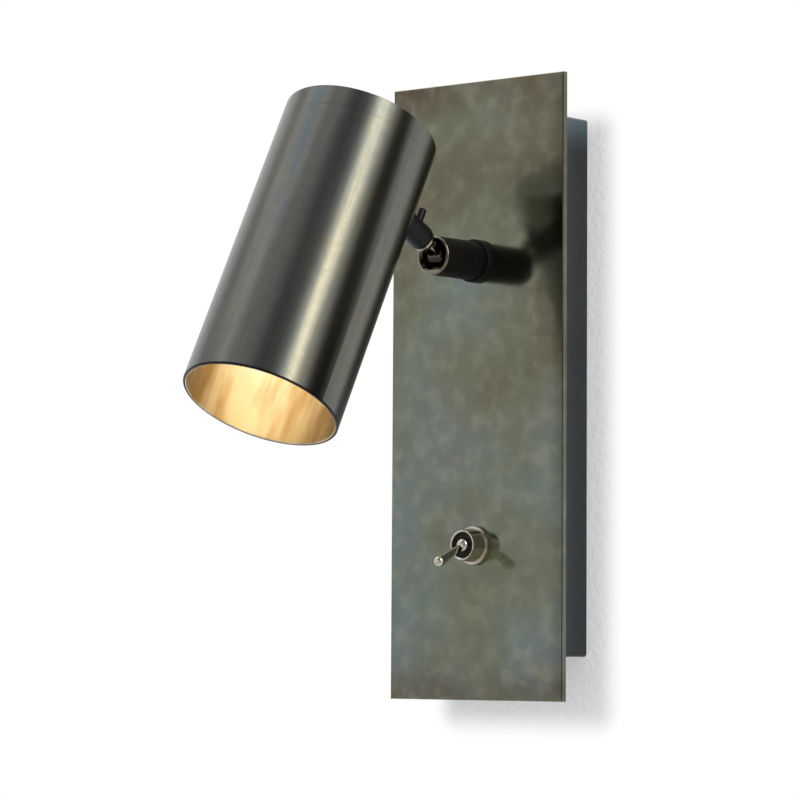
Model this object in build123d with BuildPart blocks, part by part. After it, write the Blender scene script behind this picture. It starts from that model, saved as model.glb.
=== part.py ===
"""Bedside wall reading lamp, in millimetres.

X runs right along the wall as seen from the room, -Y comes out of the wall and Z is up.
The origin is on the wall face, in the middle of the back box.
"""

import os
from math import cos, radians, sin, sqrt, tan

from build123d import *

os.makedirs("parts", exist_ok=True)

# ---------------------------------------------------------------- driving sizes

# Front plate
plate_width = 100.0
plate_height = 285.0
plate_thickness = 3.0
plate_edge_break = 0.4

# Back box, a folded tray that opens towards the wall
box_depth = 16.0
box_side_inset = 0.5
box_end_inset = 20.0
box_sheet = 1.2
box_bend_radius = 1.6

# Wall bracket inside the box
bracket_width = 60.0
bracket_sheet = 1.5
bracket_end_gap = 0.3
bracket_tab_width = 40.0
bracket_tab_depth = 11.0
wall_slot_end = 21.0
wall_slot_radius = 2.25
wall_slot_length = 12.0
inlet_z = -32.0
inlet_radius = 8.0
inlet_bore = 5.5
inlet_flange = 10.0
inlet_flange_thickness = 1.2
window_width = 26.0
window_height = 34.0
window_corner = 3.0

# Small screws
fixing_screw_radius = 1.5
fixing_screw_length = 5.0
fixing_head_radius = 2.75
fixing_head_height = 1.8
fixing_screw_y = -6.0
crown_share = 0.6
recess_share = 1.2

# Terminal block
block_width = 20.0
block_height = 17.0
block_depth = 11.0
block_round = 1.0
block_z = -4.0
pole_pitch = 10.0
sleeve_radius = 2.4
sleeve_bore = 1.5
sleeve_length = 15.0
terminal_screw_radius = 1.3
terminal_screw_length = 3.2
terminal_slot_width = 0.5
terminal_slot_depth = 0.7
terminal_well_gap = 0.5
terminal_screw_spacing = 8.0
block_screw_radius = 1.2
block_screw_head = 2.2
block_screw_head_height = 1.4

# Earth point on the bracket
earth_x = -20.0
earth_z = -4.0
earth_screw_radius = 2.0
earth_head_radius = 3.8
earth_head_height = 2.6
earth_tag_radius = 4.2
earth_tag_thickness = 0.8
earth_tag_reach = 9.0
earth_tag_width = 3.4

# Arm, along -Y from the front plate
arm_from_top = 83.7
collar_radius = 10.0
collar_length = 3.5
spigot_length = 3.3
arm_radius = 9.0
sleeve_wall = 1.5
arm_length = 32.0
arm_edge_round = 0.35
knuckle_length = 10.4
seam_width = 0.45
seam_inset = 0.4
swivel_tail = 5.0
swivel_web_thickness = 2.5
nipple_radius = 4.95
nipple_bore = 3.75
nipple_tail = 5.0
nipple_nut_flats = 14.0
nipple_nut_thickness = 3.0
nipple_washer_radius = 9.0
nipple_washer_thickness = 0.8
nipple_tag_radius = 8.0
nipple_tag_reach = 13.5
grub_radius = 1.5
grub_recess = 0.3
journal_radius = 5.0
journal_bore = 2.8
journal_overhang = 0.4
swivel_nut_radius = 6.9
swivel_nut_thickness = 2.2
swivel_washer_radius = 6.7
swivel_washer_thickness = 0.95
stop_pin_radius = 0.8
stop_pin_circle = 6.3
stop_pin_reach = 1.2
swivel_limit = 164.0

# Knuckle cup at the arm's front
cup_wall = 1.2
cup_bore = 6.8
cup_flat = 5.4
cup_floor_gap = 0.6
rim_length = 1.2
rim_round = 0.9
rim_flare = 1.2
pivot_depth = 5.8
tilt_pin_radius = 1.5
tilt_spacer_radius = 2.6

# Neck, along its own axis from the tilt pin
neck_tilt = 27.3
eye_radius = 4.8
eye_width = 8.0
eye_edge_break = 0.5
tongue_width = 6.0
tongue_height = 4.6
tongue_round = 0.8
channel_width = 3.6
shoulder_start = 10.9
shoulder_root = 4.0
neck_ring_start = 13.2
neck_ring_radius = 5.4
neck_ring_length = 1.2
neck_radius = 6.0
neck_end = 36.0
neck_round = 1.5
neck_spigot_radius = 4.3
neck_spigot_length = 4.0
boss_length = 3.0
lock_screw_distance = 20.8
lock_screw_radius = 1.5
lock_head_radius = 1.9
lock_head_height = 6.0
lock_head_chamfer = 0.4
lock_tip_gap = 0.12
groove_depth = 0.7
roll_limit = 90.0

# Shade and head
shade_radius = 35.0
shade_wall = 1.5
shade_length = 142.0
shade_rim_round = 0.3
neck_drop = 20.0
cap_recess = 0.3
cap_thickness = 2.0
stem_radius = 4.0
stem_bore = 2.5
stem_inner_length = 7.0
stem_nut_flats = 12.0
stem_nut_thickness = 3.0
saddle_radius = 6.0
holder_sheet = 1.5
holder_strip_width = 16.0
holder_seat = 8.5
holder_foot_end = 8.0
holder_strip_end = 4.0
holder_radius = 13.5
holder_height = 20.0
holder_round = 1.0
holder_screw_spacing = 17.5
holder_screw_radius = 1.4
holder_screw_length = 9.0
holder_screw_head = 2.5
holder_screw_head_height = 1.6
holder_entry = 16.0
entry_offset = 3.4
entry_depth = 3.0

# Lamp
lamp_gap = 3.0
lamp_neck_radius = 12.5
lamp_neck_length = 16.0
lamp_radius = 25.0
lamp_length = 52.0
lamp_rim = 4.0
lamp_flare = 0.6
lamp_wall = 1.5
lens_rim = 1.0
lens_thickness = 1.5
pin_spacing = 10.0
pin_radius = 1.4
pin_head_radius = 2.4
pin_head_height = 2.0
pin_depth = 7.0

# Toggle switch
switch_from_bottom = 70.5
switch_body_width = 13.0
switch_body_height = 20.0
switch_body_depth = 9.5
switch_body_round = 1.0
switch_washer_thickness = 0.6
switch_washer_radius = 8.0
bushing_radius = 5.9
bushing_length = 7.2
bushing_bore = 4.3
seat_depth = 2.0
seat_throat = 3.0
dress_flange_radius = 9.0
dress_flange_thickness = 2.0
dress_base_radius = 7.9
dress_mouth_radius = 6.85
dress_mouth_break = 0.3
dress_length = 9.7
knurl_count = 56
knurl_radius = 0.4
seal_thickness = 0.8
ball_distance = 8.3
ball_radius = 3.25
lever_angle = 24.0
lever_length = 19.1
lever_root_radius = 1.45
lever_tip_radius = 2.45
lever_tail_radius = 1.3
lever_tail_length = 6.3
lug_width = 0.8
lug_height = 2.8
lug_length = 2.8
lug_spacing = 10.0

# Leads and cable
lead_radius = 0.9
cable_radius = 2.2
core_offset = 1.05
bend_share = 0.45

# Clearances
thread_gap = 0.05
press_gap = 0.02
running_gap = 0.05
slide_gap = 0.1
hole_gap = 0.1
face_gap = 0.05
stop_gap = 0.2
swivel_face_gap = 0.15
neck_seam_gap = 0.3

# ---------------------------------------------------------------- worked-out sizes

box_width = plate_width - 2 * box_side_inset
box_height = plate_height - 2 * box_end_inset
plate_back_y = -box_depth
plate_front_y = plate_back_y - plate_thickness
web_inner_y = plate_back_y + box_sheet
bracket_height = box_height - 2 * (box_sheet + bracket_end_gap)
wall_slot_z = bracket_height / 2 - wall_slot_end
arm_z = plate_height / 2 - arm_from_top
switch_z = switch_from_bottom - plate_height / 2

seam_distance = arm_length - knuckle_length
sleeve_end = seam_distance - seam_width / 2
cup_start = seam_distance + seam_width / 2
sleeve_bore_radius = arm_radius - sleeve_wall
tail_radius = sleeve_bore_radius - slide_gap
web_end = seam_distance - swivel_tail
web_start = web_end - swivel_web_thickness
cup_outer = cup_bore + cup_wall
rim_start = arm_length - rim_length
pivot_distance = arm_length - pivot_depth
pivot_y = plate_front_y - pivot_distance
cup_floor = pivot_distance - eye_radius - cup_floor_gap

neck_reach = neck_end + boss_length + shade_radius
tube_start = neck_ring_start + neck_ring_length
spigot_end = tube_start + neck_spigot_length
boss_start = neck_end + neck_seam_gap
stem_start = spigot_end + neck_seam_gap
stem_end = neck_reach - shade_radius + shade_wall + stem_inner_length
shade_bore = shade_radius - shade_wall
lens_front = holder_seat + holder_sheet + holder_height + lamp_gap + lamp_length


def arm_plane(distance):
    """Plane across the arm's axis, a distance out from the front plate, with its normal outwards."""
    return Plane(origin=(0, plate_front_y - distance, arm_z), x_dir=(1, 0, 0), z_dir=(0, -1, 0))


def switch_plane(distance):
    """Plane across the switch's axis, a distance out from the front plate."""
    return Plane(origin=(0, plate_front_y - distance, switch_z), x_dir=(1, 0, 0), z_dir=(0, -1, 0))


def neck_plane(distance):
    """Plane across the neck's axis, a distance from the tilt pin towards the shade."""
    out, up = cos(radians(neck_tilt)), sin(radians(neck_tilt))
    origin = (0, pivot_y - distance * out, arm_z + distance * up)
    return Plane(origin=origin, x_dir=(1, 0, 0), z_dir=(0, -out, up))


def head_plane(distance):
    """Plane across the shade's axis, a distance from its closed end, with +y away from the neck."""
    foot = neck_plane(neck_reach)
    origin = foot.origin + foot.y_dir * (neck_drop - distance)
    return Plane(origin=origin, x_dir=(1, 0, 0), z_dir=-foot.y_dir)


def head_point(x, y, distance):
    """Point in the head: x across, y away from the neck, distance from the closed end."""
    plane = head_plane(distance)
    return plane.origin + plane.x_dir * x + plane.y_dir * y


def ring(plane, outer, inner, length):
    """A plain round tube or washer that stands on the plane."""
    with BuildPart() as tube:
        with BuildSketch(plane):
            Circle(outer)
            Circle(inner, mode=Mode.SUBTRACT)
        extrude(amount=length)
    return tube


def hex_nut(plane, flats, bore, thickness):
    """A hexagon nut, given across its flats."""
    with BuildPart() as nut:
        with BuildSketch(plane):
            RegularPolygon(radius=flats / 2, side_count=6, major_radius=False)
            Circle(bore, mode=Mode.SUBTRACT)
        extrude(amount=thickness)
    return nut


def side_plane(plane):
    """Plane through the same origin whose +y runs along the given plane's normal."""
    return Plane(origin=plane.origin, x_dir=plane.x_dir, z_dir=-plane.y_dir)


def pan_screws(planes, radius, length, head_radius, head_height):
    """Pan head screws with a cross recess: each head stands on its plane, the shank goes behind it."""
    crown = crown_share * head_radius
    recess_length, recess_width = recess_share * head_radius, head_radius / 4
    with BuildPart() as screws:
        for plane in planes:
            with BuildSketch(side_plane(plane)):
                with BuildLine():
                    Polyline((0, head_height), (0, -length), (radius, -length), (radius, 0))
                    Polyline((radius, 0), (head_radius, 0), (head_radius, head_height / 2))
                    TangentArc((head_radius, head_height / 2), (crown, head_height), tangent=(0, 1))
                    Line((crown, head_height), (0, head_height))
                make_face()
            revolve(axis=Axis(plane.origin, plane.z_dir))
            with BuildSketch(plane.offset(head_height)):
                Rectangle(recess_length, recess_width)
                Rectangle(recess_width, recess_length)
            extrude(amount=-head_height / 2, mode=Mode.SUBTRACT)
    return screws


def bend_radii(route):
    """Largest arc at each corner that leaves a short straight in the runs beside it."""
    points = [Vector(*point) for point in route]
    radii = []
    for before, corner, after in zip(points, points[1:], points[2:]):
        arriving, leaving = corner - before, after - corner
        half_turn = radians(arriving.get_angle(leaving)) / 2
        radii.append(bend_share * min(arriving.length, leaving.length) / tan(half_turn))
    return radii


def lead(name, route, radius):
    """A round lead along straight runs joined by tangent arcs."""
    radii = bend_radii(route)
    print(name, "bend radii", [round(value, 1) for value in radii])
    with BuildPart() as wire:
        with BuildLine() as path:
            FilletPolyline(*route, radius=radii)
        with BuildSketch(Plane(origin=path.line @ 0, z_dir=path.line % 0)):
            Circle(radius)
        sweep()
    return wire


# ---------------------------------------------------------------- front plate and box

with BuildPart() as front_plate:
    with BuildSketch(Plane(origin=(0, plate_back_y, 0), x_dir=(1, 0, 0), z_dir=(0, -1, 0))):
        Rectangle(plate_width, plate_height)
        with Locations((0, arm_z)):
            Circle(nipple_radius + hole_gap, mode=Mode.SUBTRACT)
        with Locations((0, switch_z)):
            Circle(bushing_radius + hole_gap, mode=Mode.SUBTRACT)
    extrude(amount=plate_thickness)
    chamfer(front_plate.faces().sort_by(Axis.Y)[0].outer_wire().edges(), plate_edge_break)
front_plate.part.label = "front_plate"
export_step(front_plate.part, "parts/front_plate.step")

with BuildPart() as back_box:
    with BuildSketch(Plane.XZ):
        Rectangle(box_width, box_height)
    extrude(amount=box_depth)
    fillet(back_box.edges().filter_by(Axis.Y), box_bend_radius)
    with BuildSketch(Plane.XZ):
        Rectangle(box_width - 2 * box_sheet, box_height - 2 * box_sheet)
    extrude(amount=box_depth - box_sheet, mode=Mode.SUBTRACT)
    with BuildSketch(Plane.XZ.offset(box_depth)):
        with Locations((0, arm_z)):
            Circle(nipple_radius + hole_gap)
        with Locations((0, switch_z)):
            Circle(bushing_radius + hole_gap)
    extrude(amount=-box_sheet, mode=Mode.SUBTRACT)
    with BuildSketch(Plane.XY.offset(-box_height / 2)):
        with Locations((0, fixing_screw_y)):
            Circle(fixing_screw_radius + hole_gap)
    extrude(amount=box_height, mode=Mode.SUBTRACT)
back_box.part.label = "back_box"
export_step(back_box.part, "parts/back_box.step")

with BuildPart() as wall_bracket:
    with BuildSketch(Plane.XZ):
        Rectangle(bracket_width, bracket_height)
        with Locations((0, wall_slot_z), (0, -wall_slot_z)):
            SlotOverall(wall_slot_length, 2 * wall_slot_radius, rotation=90, mode=Mode.SUBTRACT)
        with Locations((0, inlet_z)):
            Circle(inlet_radius, mode=Mode.SUBTRACT)
        with Locations((0, switch_z)):
            RectangleRounded(window_width, window_height, window_corner, mode=Mode.SUBTRACT)
        with Locations((earth_x, earth_z)):
            Circle(earth_screw_radius + thread_gap, mode=Mode.SUBTRACT)
        with Locations((0, block_z)):
            Circle(block_screw_radius + thread_gap, mode=Mode.SUBTRACT)
    extrude(amount=bracket_sheet)
    tab_sketch_z = bracket_height / 2 - bracket_sheet
    with BuildSketch(Plane.XY.offset(tab_sketch_z), Plane.XY.offset(-bracket_height / 2)):
        with Locations((0, -bracket_tab_depth / 2)):
            Rectangle(bracket_tab_width, bracket_tab_depth)
    extrude(amount=bracket_sheet)
    with BuildSketch(Plane.XY.offset(-bracket_height / 2)):
        with Locations((0, fixing_screw_y)):
            Circle(fixing_screw_radius + thread_gap)
    extrude(amount=bracket_height, mode=Mode.SUBTRACT)
wall_bracket.part.label = "wall_bracket"
export_step(wall_bracket.part, "parts/wall_bracket.step")

box_screw_planes = [
    Plane(origin=(0, fixing_screw_y, box_height / 2)),
    Plane(origin=(0, fixing_screw_y, -box_height / 2), z_dir=(0, 0, -1)),
]
box_screws = pan_screws(
    box_screw_planes, fixing_screw_radius, fixing_screw_length, fixing_head_radius, fixing_head_height
)
box_screws.part.label = "box_screws"
export_step(box_screws.part, "parts/box_screws.step")

with BuildPart() as cable_bush:
    with BuildSketch(Plane.XZ):
        with Locations((0, inlet_z)):
            Circle(inlet_radius - press_gap)
    extrude(amount=bracket_sheet)
    with BuildSketch(Plane.XZ.offset(bracket_sheet)):
        with Locations((0, inlet_z)):
            Circle(inlet_flange)
    extrude(amount=inlet_flange_thickness)
    with BuildSketch(Plane.XZ):
        with Locations((0, inlet_z)):
            Circle(inlet_bore)
    extrude(amount=bracket_sheet + inlet_flange_thickness, mode=Mode.SUBTRACT)
    fillet(cable_bush.faces().sort_by(Axis.Y)[0].edges(), inlet_flange_thickness / 3)
cable_bush.part.label = "cable_bush"
export_step(cable_bush.part, "parts/cable_bush.step")

# ---------------------------------------------------------------- terminal block and earth point

block_back_y = -bracket_sheet
pole_y = block_back_y - block_depth / 2
pole_spots = [(side * pole_pitch / 2, pole_y) for side in (-1, 1)]
screw_spots = [
    (side * pole_pitch / 2, block_z + end * terminal_screw_spacing / 2)
    for side in (-1, 1)
    for end in (-1, 1)
]
block_bottom = Plane.XY.offset(block_z - block_height / 2)
sleeve_bottom = Plane.XY.offset(block_z - sleeve_length / 2)

with BuildPart() as terminal_block:
    with BuildSketch(Plane.XZ.offset(bracket_sheet)):
        with Locations((0, block_z)):
            Rectangle(block_width, block_height)
    extrude(amount=block_depth)
    fillet(terminal_block.edges().filter_by(Axis.Z), block_round)
    with BuildSketch(block_bottom):
        with Locations(*pole_spots):
            Circle(sleeve_radius + press_gap)
    extrude(amount=block_height, mode=Mode.SUBTRACT)
    with BuildSketch(Plane.XZ.offset(-pole_y)):
        with Locations(*screw_spots):
            Circle(terminal_screw_radius + terminal_well_gap)
        with Locations((0, block_z)):
            Circle(block_screw_head + hole_gap)
    extrude(amount=block_depth, mode=Mode.SUBTRACT)
    with BuildSketch(Plane.XZ):
        with Locations((0, block_z)):
            Circle(block_screw_radius + hole_gap)
    extrude(amount=block_depth, mode=Mode.SUBTRACT)
terminal_block.part.label = "terminal_block"
export_step(terminal_block.part, "parts/terminal_block.step")

with BuildPart() as terminal_sleeves:
    with BuildSketch(sleeve_bottom):
        with Locations(*pole_spots):
            Circle(sleeve_radius)
            Circle(sleeve_bore, mode=Mode.SUBTRACT)
    extrude(amount=sleeve_length)
    with BuildSketch(Plane.XZ.offset(-pole_y)):
        with Locations(*screw_spots):
            Circle(terminal_screw_radius + press_gap)
    extrude(amount=2 * sleeve_radius, mode=Mode.SUBTRACT)
terminal_sleeves.part.label = "terminal_sleeves"
export_step(terminal_sleeves.part, "parts/terminal_sleeves.step")

terminal_tip = Plane.XZ.offset(lead_radius + face_gap - pole_y)
with BuildPart() as terminal_screws:
    with BuildSketch(terminal_tip):
        with Locations(*screw_spots):
            Circle(terminal_screw_radius)
    extrude(amount=terminal_screw_length)
    with BuildSketch(terminal_tip.offset(terminal_screw_length)):
        with Locations(*screw_spots):
            Rectangle(4 * terminal_screw_radius, terminal_slot_width)
    extrude(amount=-terminal_slot_depth, mode=Mode.SUBTRACT)
terminal_screws.part.label = "terminal_screws"
export_step(terminal_screws.part, "parts/terminal_screws.step")

block_screw_plane = Plane(origin=(0, pole_y, block_z), x_dir=(1, 0, 0), z_dir=(0, -1, 0))
block_screw = pan_screws(
    [block_screw_plane],
    block_screw_radius,
    block_depth / 2 + bracket_sheet,
    block_screw_head,
    block_screw_head_height,
)
block_screw.part.label = "block_screw"
export_step(block_screw.part, "parts/block_screw.step")

with BuildPart() as earth_tag:
    with BuildSketch(Plane.XZ.offset(bracket_sheet)):
        with Locations((earth_x, earth_z)):
            Circle(earth_tag_radius)
        with Locations((earth_x, earth_z + earth_tag_reach / 2)):
            Rectangle(earth_tag_width, earth_tag_reach)
        with Locations((earth_x, earth_z)):
            Circle(earth_screw_radius + hole_gap, mode=Mode.SUBTRACT)
    extrude(amount=earth_tag_thickness)
earth_tag.part.label = "earth_tag"
export_step(earth_tag.part, "parts/earth_tag.step")

earth_plane = Plane(
    origin=(earth_x, -bracket_sheet - earth_tag_thickness, earth_z), x_dir=(1, 0, 0), z_dir=(0, -1, 0)
)
earth_screw = pan_screws(
    [earth_plane],
    earth_screw_radius,
    earth_tag_thickness + bracket_sheet,
    earth_head_radius,
    earth_head_height,
)
earth_screw.part.label = "earth_screw"
export_step(earth_screw.part, "parts/earth_screw.step")

# ---------------------------------------------------------------- arm, fixed half

washer_plane = Plane(origin=(0, web_inner_y, arm_z), x_dir=(1, 0, 0), z_dir=(0, 1, 0))
tag_plane = washer_plane.offset(nipple_washer_thickness)
nut_plane = tag_plane.offset(earth_tag_thickness)
nipple_length = collar_length + spigot_length + plate_thickness + box_sheet + nipple_tail

arm_nipple = ring(arm_plane(collar_length + spigot_length), nipple_radius, nipple_bore, -nipple_length)
arm_nipple.part.label = "arm_nipple"
export_step(arm_nipple.part, "parts/arm_nipple.step")

nipple_washer = ring(washer_plane, nipple_washer_radius, nipple_radius + thread_gap, nipple_washer_thickness)
nipple_washer.part.label = "nipple_washer"
export_step(nipple_washer.part, "parts/nipple_washer.step")

with BuildPart() as nipple_earth_tag:
    with BuildSketch(tag_plane):
        Circle(nipple_tag_radius)
        with Locations((-nipple_tag_reach / 2, 0)):
            Rectangle(nipple_tag_reach, earth_tag_width)
        Circle(nipple_radius + hole_gap, mode=Mode.SUBTRACT)
    extrude(amount=earth_tag_thickness)
nipple_earth_tag.part.label = "nipple_earth_tag"
export_step(nipple_earth_tag.part, "parts/nipple_earth_tag.step")

nipple_nut = hex_nut(nut_plane, nipple_nut_flats, nipple_radius + thread_gap, nipple_nut_thickness)
nipple_nut.part.label = "nipple_nut"
export_step(nipple_nut.part, "parts/nipple_nut.step")

grub_foot = arm_plane(collar_length + spigot_length / 2).origin
grub_plane = Plane(origin=grub_foot, x_dir=(1, 0, 0), z_dir=(0, 0, -1))

with BuildPart() as arm_collar:
    with BuildSketch(arm_plane(0)):
        Circle(collar_radius)
    extrude(amount=collar_length)
    fillet(arm_collar.faces().sort_by(Axis.Y)[0].edges(), arm_edge_round)
    with BuildSketch(arm_plane(collar_length)):
        Circle(sleeve_bore_radius - thread_gap)
    extrude(amount=spigot_length)
    with BuildSketch(arm_plane(0)):
        Circle(nipple_radius + thread_gap)
    extrude(amount=collar_length + spigot_length, mode=Mode.SUBTRACT)
    with BuildSketch(grub_plane.offset(nipple_radius)):
        Circle(grub_radius + thread_gap)
    extrude(amount=collar_radius, mode=Mode.SUBTRACT)
arm_collar.part.label = "arm_collar"
export_step(arm_collar.part, "parts/arm_collar.step")

with BuildPart() as arm_sleeve:
    with BuildSketch(arm_plane(collar_length)):
        Circle(arm_radius)
        Circle(sleeve_bore_radius, mode=Mode.SUBTRACT)
    extrude(amount=sleeve_end - collar_length)
    with BuildSketch(arm_plane(web_start)):
        Circle(arm_radius - sleeve_wall / 2)
        Circle(journal_radius + running_gap, mode=Mode.SUBTRACT)
        with Locations((0, -stop_pin_circle)):
            Circle(stop_pin_radius + press_gap, mode=Mode.SUBTRACT)
    extrude(amount=swivel_web_thickness)
    with BuildSketch(grub_plane.offset(nipple_radius)):
        Circle(grub_radius + thread_gap)
    extrude(amount=collar_radius, mode=Mode.SUBTRACT)
    chamfer(arm_sleeve.faces().sort_by(Axis.Y)[0].outer_wire().edges(), arm_edge_round / 2)
arm_sleeve.part.label = "arm_sleeve"
export_step(arm_sleeve.part, "parts/arm_sleeve.step")

grub_start = nipple_radius + face_gap
grub_end = arm_radius - grub_recess
with BuildPart() as sleeve_grub:
    with BuildSketch(grub_plane.offset(grub_start)):
        Circle(grub_radius)
    extrude(amount=grub_end - grub_start)
    with BuildSketch(grub_plane.offset(grub_end)):
        RegularPolygon(radius=grub_radius / 2, side_count=6)
    extrude(amount=-grub_radius, mode=Mode.SUBTRACT)
sleeve_grub.part.label = "sleeve_grub"
export_step(sleeve_grub.part, "parts/sleeve_grub.step")

with BuildPart() as stop_pin:
    with BuildSketch(arm_plane(web_end - swivel_web_thickness / 2)):
        with Locations((0, -stop_pin_circle)):
            Circle(stop_pin_radius)
    extrude(amount=swivel_web_thickness / 2 + stop_pin_reach)
stop_pin.part.label = "stop_pin"
export_step(stop_pin.part, "parts/stop_pin.step")

# ---------------------------------------------------------------- arm, swivelling half

swivel_nut_front = web_start - face_gap - swivel_washer_thickness
journal_start = swivel_nut_front - swivel_nut_thickness - journal_overhang
tail_start = web_end + swivel_face_gap
rebate_end = tail_start + stop_pin_reach + 2 * stop_gap
rebate_radius = stop_pin_circle - stop_pin_radius - stop_gap
tooth_reach = stop_pin_circle * radians(180 - swivel_limit)
tooth_width = 2 * (tooth_reach - stop_pin_radius - stop_gap)
tooth_top = tail_radius - slide_gap

with BuildPart() as knuckle_cup:
    with BuildSketch(arm_plane(journal_start)):
        Circle(journal_radius)
    extrude(amount=cup_floor - journal_start)
    with BuildSketch(arm_plane(tail_start)):
        Circle(rebate_radius)
        with Locations((0, tooth_top / 2)):
            Rectangle(tooth_width, tooth_top)
    extrude(amount=rebate_end - tail_start)
    with BuildSketch(arm_plane(rebate_end)):
        Circle(tail_radius)
    extrude(amount=cup_start - rebate_end)
    with BuildSketch(arm_plane(cup_start)):
        Circle(cup_outer - press_gap)
    extrude(amount=rim_start - cup_start)
    with BuildSketch(arm_plane(rim_start)):
        Circle(arm_radius)
    extrude(amount=rim_length)
    with BuildSketch(arm_plane(cup_floor)):
        Circle(cup_bore)
        with Locations((0, -cup_flat)):
            Rectangle(2 * cup_bore, 2 * cup_bore, align=(Align.CENTER, Align.MAX), mode=Mode.SUBTRACT)
    extrude(amount=arm_length - cup_floor, mode=Mode.SUBTRACT)
    chamfer(knuckle_cup.faces().sort_by(Axis.Y)[0].inner_wires().edges(), rim_flare)
    fillet(knuckle_cup.faces().sort_by(Axis.Y)[0].outer_wire().edges(), rim_round)
    with BuildSketch(arm_plane(journal_start)):
        Circle(journal_bore)
    extrude(amount=cup_floor - journal_start, mode=Mode.SUBTRACT)
    with BuildSketch(Plane(origin=(0, pivot_y, arm_z), z_dir=(1, 0, 0))):
        Circle(tilt_pin_radius + press_gap)
    extrude(amount=arm_radius, both=True, mode=Mode.SUBTRACT)
knuckle_cup.part.label = "knuckle_cup"
export_step(knuckle_cup.part, "parts/knuckle_cup.step")

knuckle_sleeve = ring(arm_plane(cup_start), arm_radius, cup_outer, rim_start - cup_start)
knuckle_sleeve.part.label = "knuckle_sleeve"
export_step(knuckle_sleeve.part, "parts/knuckle_sleeve.step")

seam_washer = ring(
    arm_plane(sleeve_end + face_gap), arm_radius - seam_inset, tail_radius + hole_gap, seam_width - face_gap
)
seam_washer.part.label = "seam_washer"
export_step(seam_washer.part, "parts/seam_washer.step")

swivel_nut = ring(
    arm_plane(swivel_nut_front), swivel_nut_radius, journal_radius + press_gap, -swivel_nut_thickness
)
swivel_nut.part.label = "swivel_nut"
export_step(swivel_nut.part, "parts/swivel_nut.step")

spring_washer = ring(
    arm_plane(swivel_nut_front), swivel_washer_radius, journal_radius + hole_gap, swivel_washer_thickness
)
spring_washer.part.label = "spring_washer"
export_step(spring_washer.part, "parts/spring_washer.step")

pin_half_length = sqrt(cup_outer**2 - tilt_pin_radius**2) - press_gap
with BuildPart() as tilt_pin:
    with BuildSketch(Plane(origin=(-pin_half_length, pivot_y, arm_z), z_dir=(1, 0, 0))):
        Circle(tilt_pin_radius)
    extrude(amount=2 * pin_half_length)
tilt_pin.part.label = "tilt_pin"
export_step(tilt_pin.part, "parts/tilt_pin.step")

spacer_start = eye_width / 2 + running_gap
spacer_end = sqrt(cup_bore**2 - tilt_spacer_radius**2) - press_gap
with BuildPart() as tilt_spacers:
    for side in (-1, 1):
        with BuildSketch(Plane(origin=(side * spacer_start, pivot_y, arm_z), z_dir=(side, 0, 0))):
            Circle(tilt_spacer_radius)
            Circle(tilt_pin_radius + press_gap, mode=Mode.SUBTRACT)
        extrude(amount=spacer_end - spacer_start)
tilt_spacers.part.label = "tilt_spacers"
export_step(tilt_spacers.part, "parts/tilt_spacers.step")

# ---------------------------------------------------------------- neck and its lock screw

lock_foot = neck_plane(lock_screw_distance).origin
lock_plane = Plane(origin=lock_foot, x_dir=(1, 0, 0), z_dir=neck_plane(0).y_dir)
lock_axis = Axis(lock_foot, lock_plane.z_dir)
neck_axis = Axis(neck_plane(0).origin, neck_plane(0).z_dir)

with BuildPart() as neck_eye:
    with BuildSketch(Plane(origin=(0, pivot_y, arm_z), z_dir=(1, 0, 0))):
        Circle(eye_radius)
    extrude(amount=eye_width / 2, both=True)
    chamfer(neck_eye.edges().filter_by(GeomType.CIRCLE), eye_edge_break)
    with BuildSketch(neck_plane(0)):
        RectangleRounded(tongue_width, tongue_height, tongue_round)
    extrude(amount=neck_ring_start)
    with BuildSketch(neck_plane(shoulder_start)):
        Circle(shoulder_root)
    with BuildSketch(neck_plane(neck_ring_start)):
        Circle(neck_ring_radius)
    loft()
    with BuildSketch(neck_plane(neck_ring_start)):
        Circle(neck_ring_radius)
    extrude(amount=neck_ring_length)
    with BuildSketch(neck_plane(tube_start)):
        Circle(neck_spigot_radius)
    extrude(amount=neck_spigot_length)
    with BuildSketch(neck_plane(shoulder_start)):
        Circle(channel_width / 2)
    extrude(amount=spigot_end - shoulder_start, mode=Mode.SUBTRACT)
    with BuildSketch(neck_plane(eye_radius)):
        Rectangle(channel_width, tongue_height, align=(Align.CENTER, Align.MAX))
    extrude(amount=shoulder_start - eye_radius, mode=Mode.SUBTRACT)
    with BuildSketch(Plane(origin=(0, pivot_y, arm_z), z_dir=(1, 0, 0))):
        Circle(tilt_pin_radius + running_gap)
    extrude(amount=eye_width, both=True, mode=Mode.SUBTRACT)
neck_eye.part.label = "neck_eye"
export_step(neck_eye.part, "parts/neck_eye.step")

with BuildPart() as neck_tube:
    with BuildSketch(neck_plane(tube_start)):
        Circle(neck_radius)
    extrude(amount=neck_end - tube_start)
    fillet(neck_tube.faces().sort_by(neck_axis)[0].edges(), neck_round)
    with BuildSketch(neck_plane(tube_start)):
        Circle(neck_spigot_radius + press_gap)
    extrude(amount=neck_spigot_length + press_gap, mode=Mode.SUBTRACT)
    with BuildSketch(neck_plane(tube_start)):
        Circle(stem_radius + running_gap)
    extrude(amount=neck_end - tube_start, mode=Mode.SUBTRACT)
    with BuildSketch(lock_plane):
        Circle(lock_screw_radius + running_gap)
    extrude(amount=2 * neck_radius, mode=Mode.SUBTRACT)
neck_tube.part.label = "neck_tube"
export_step(neck_tube.part, "parts/neck_tube.step")

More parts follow.
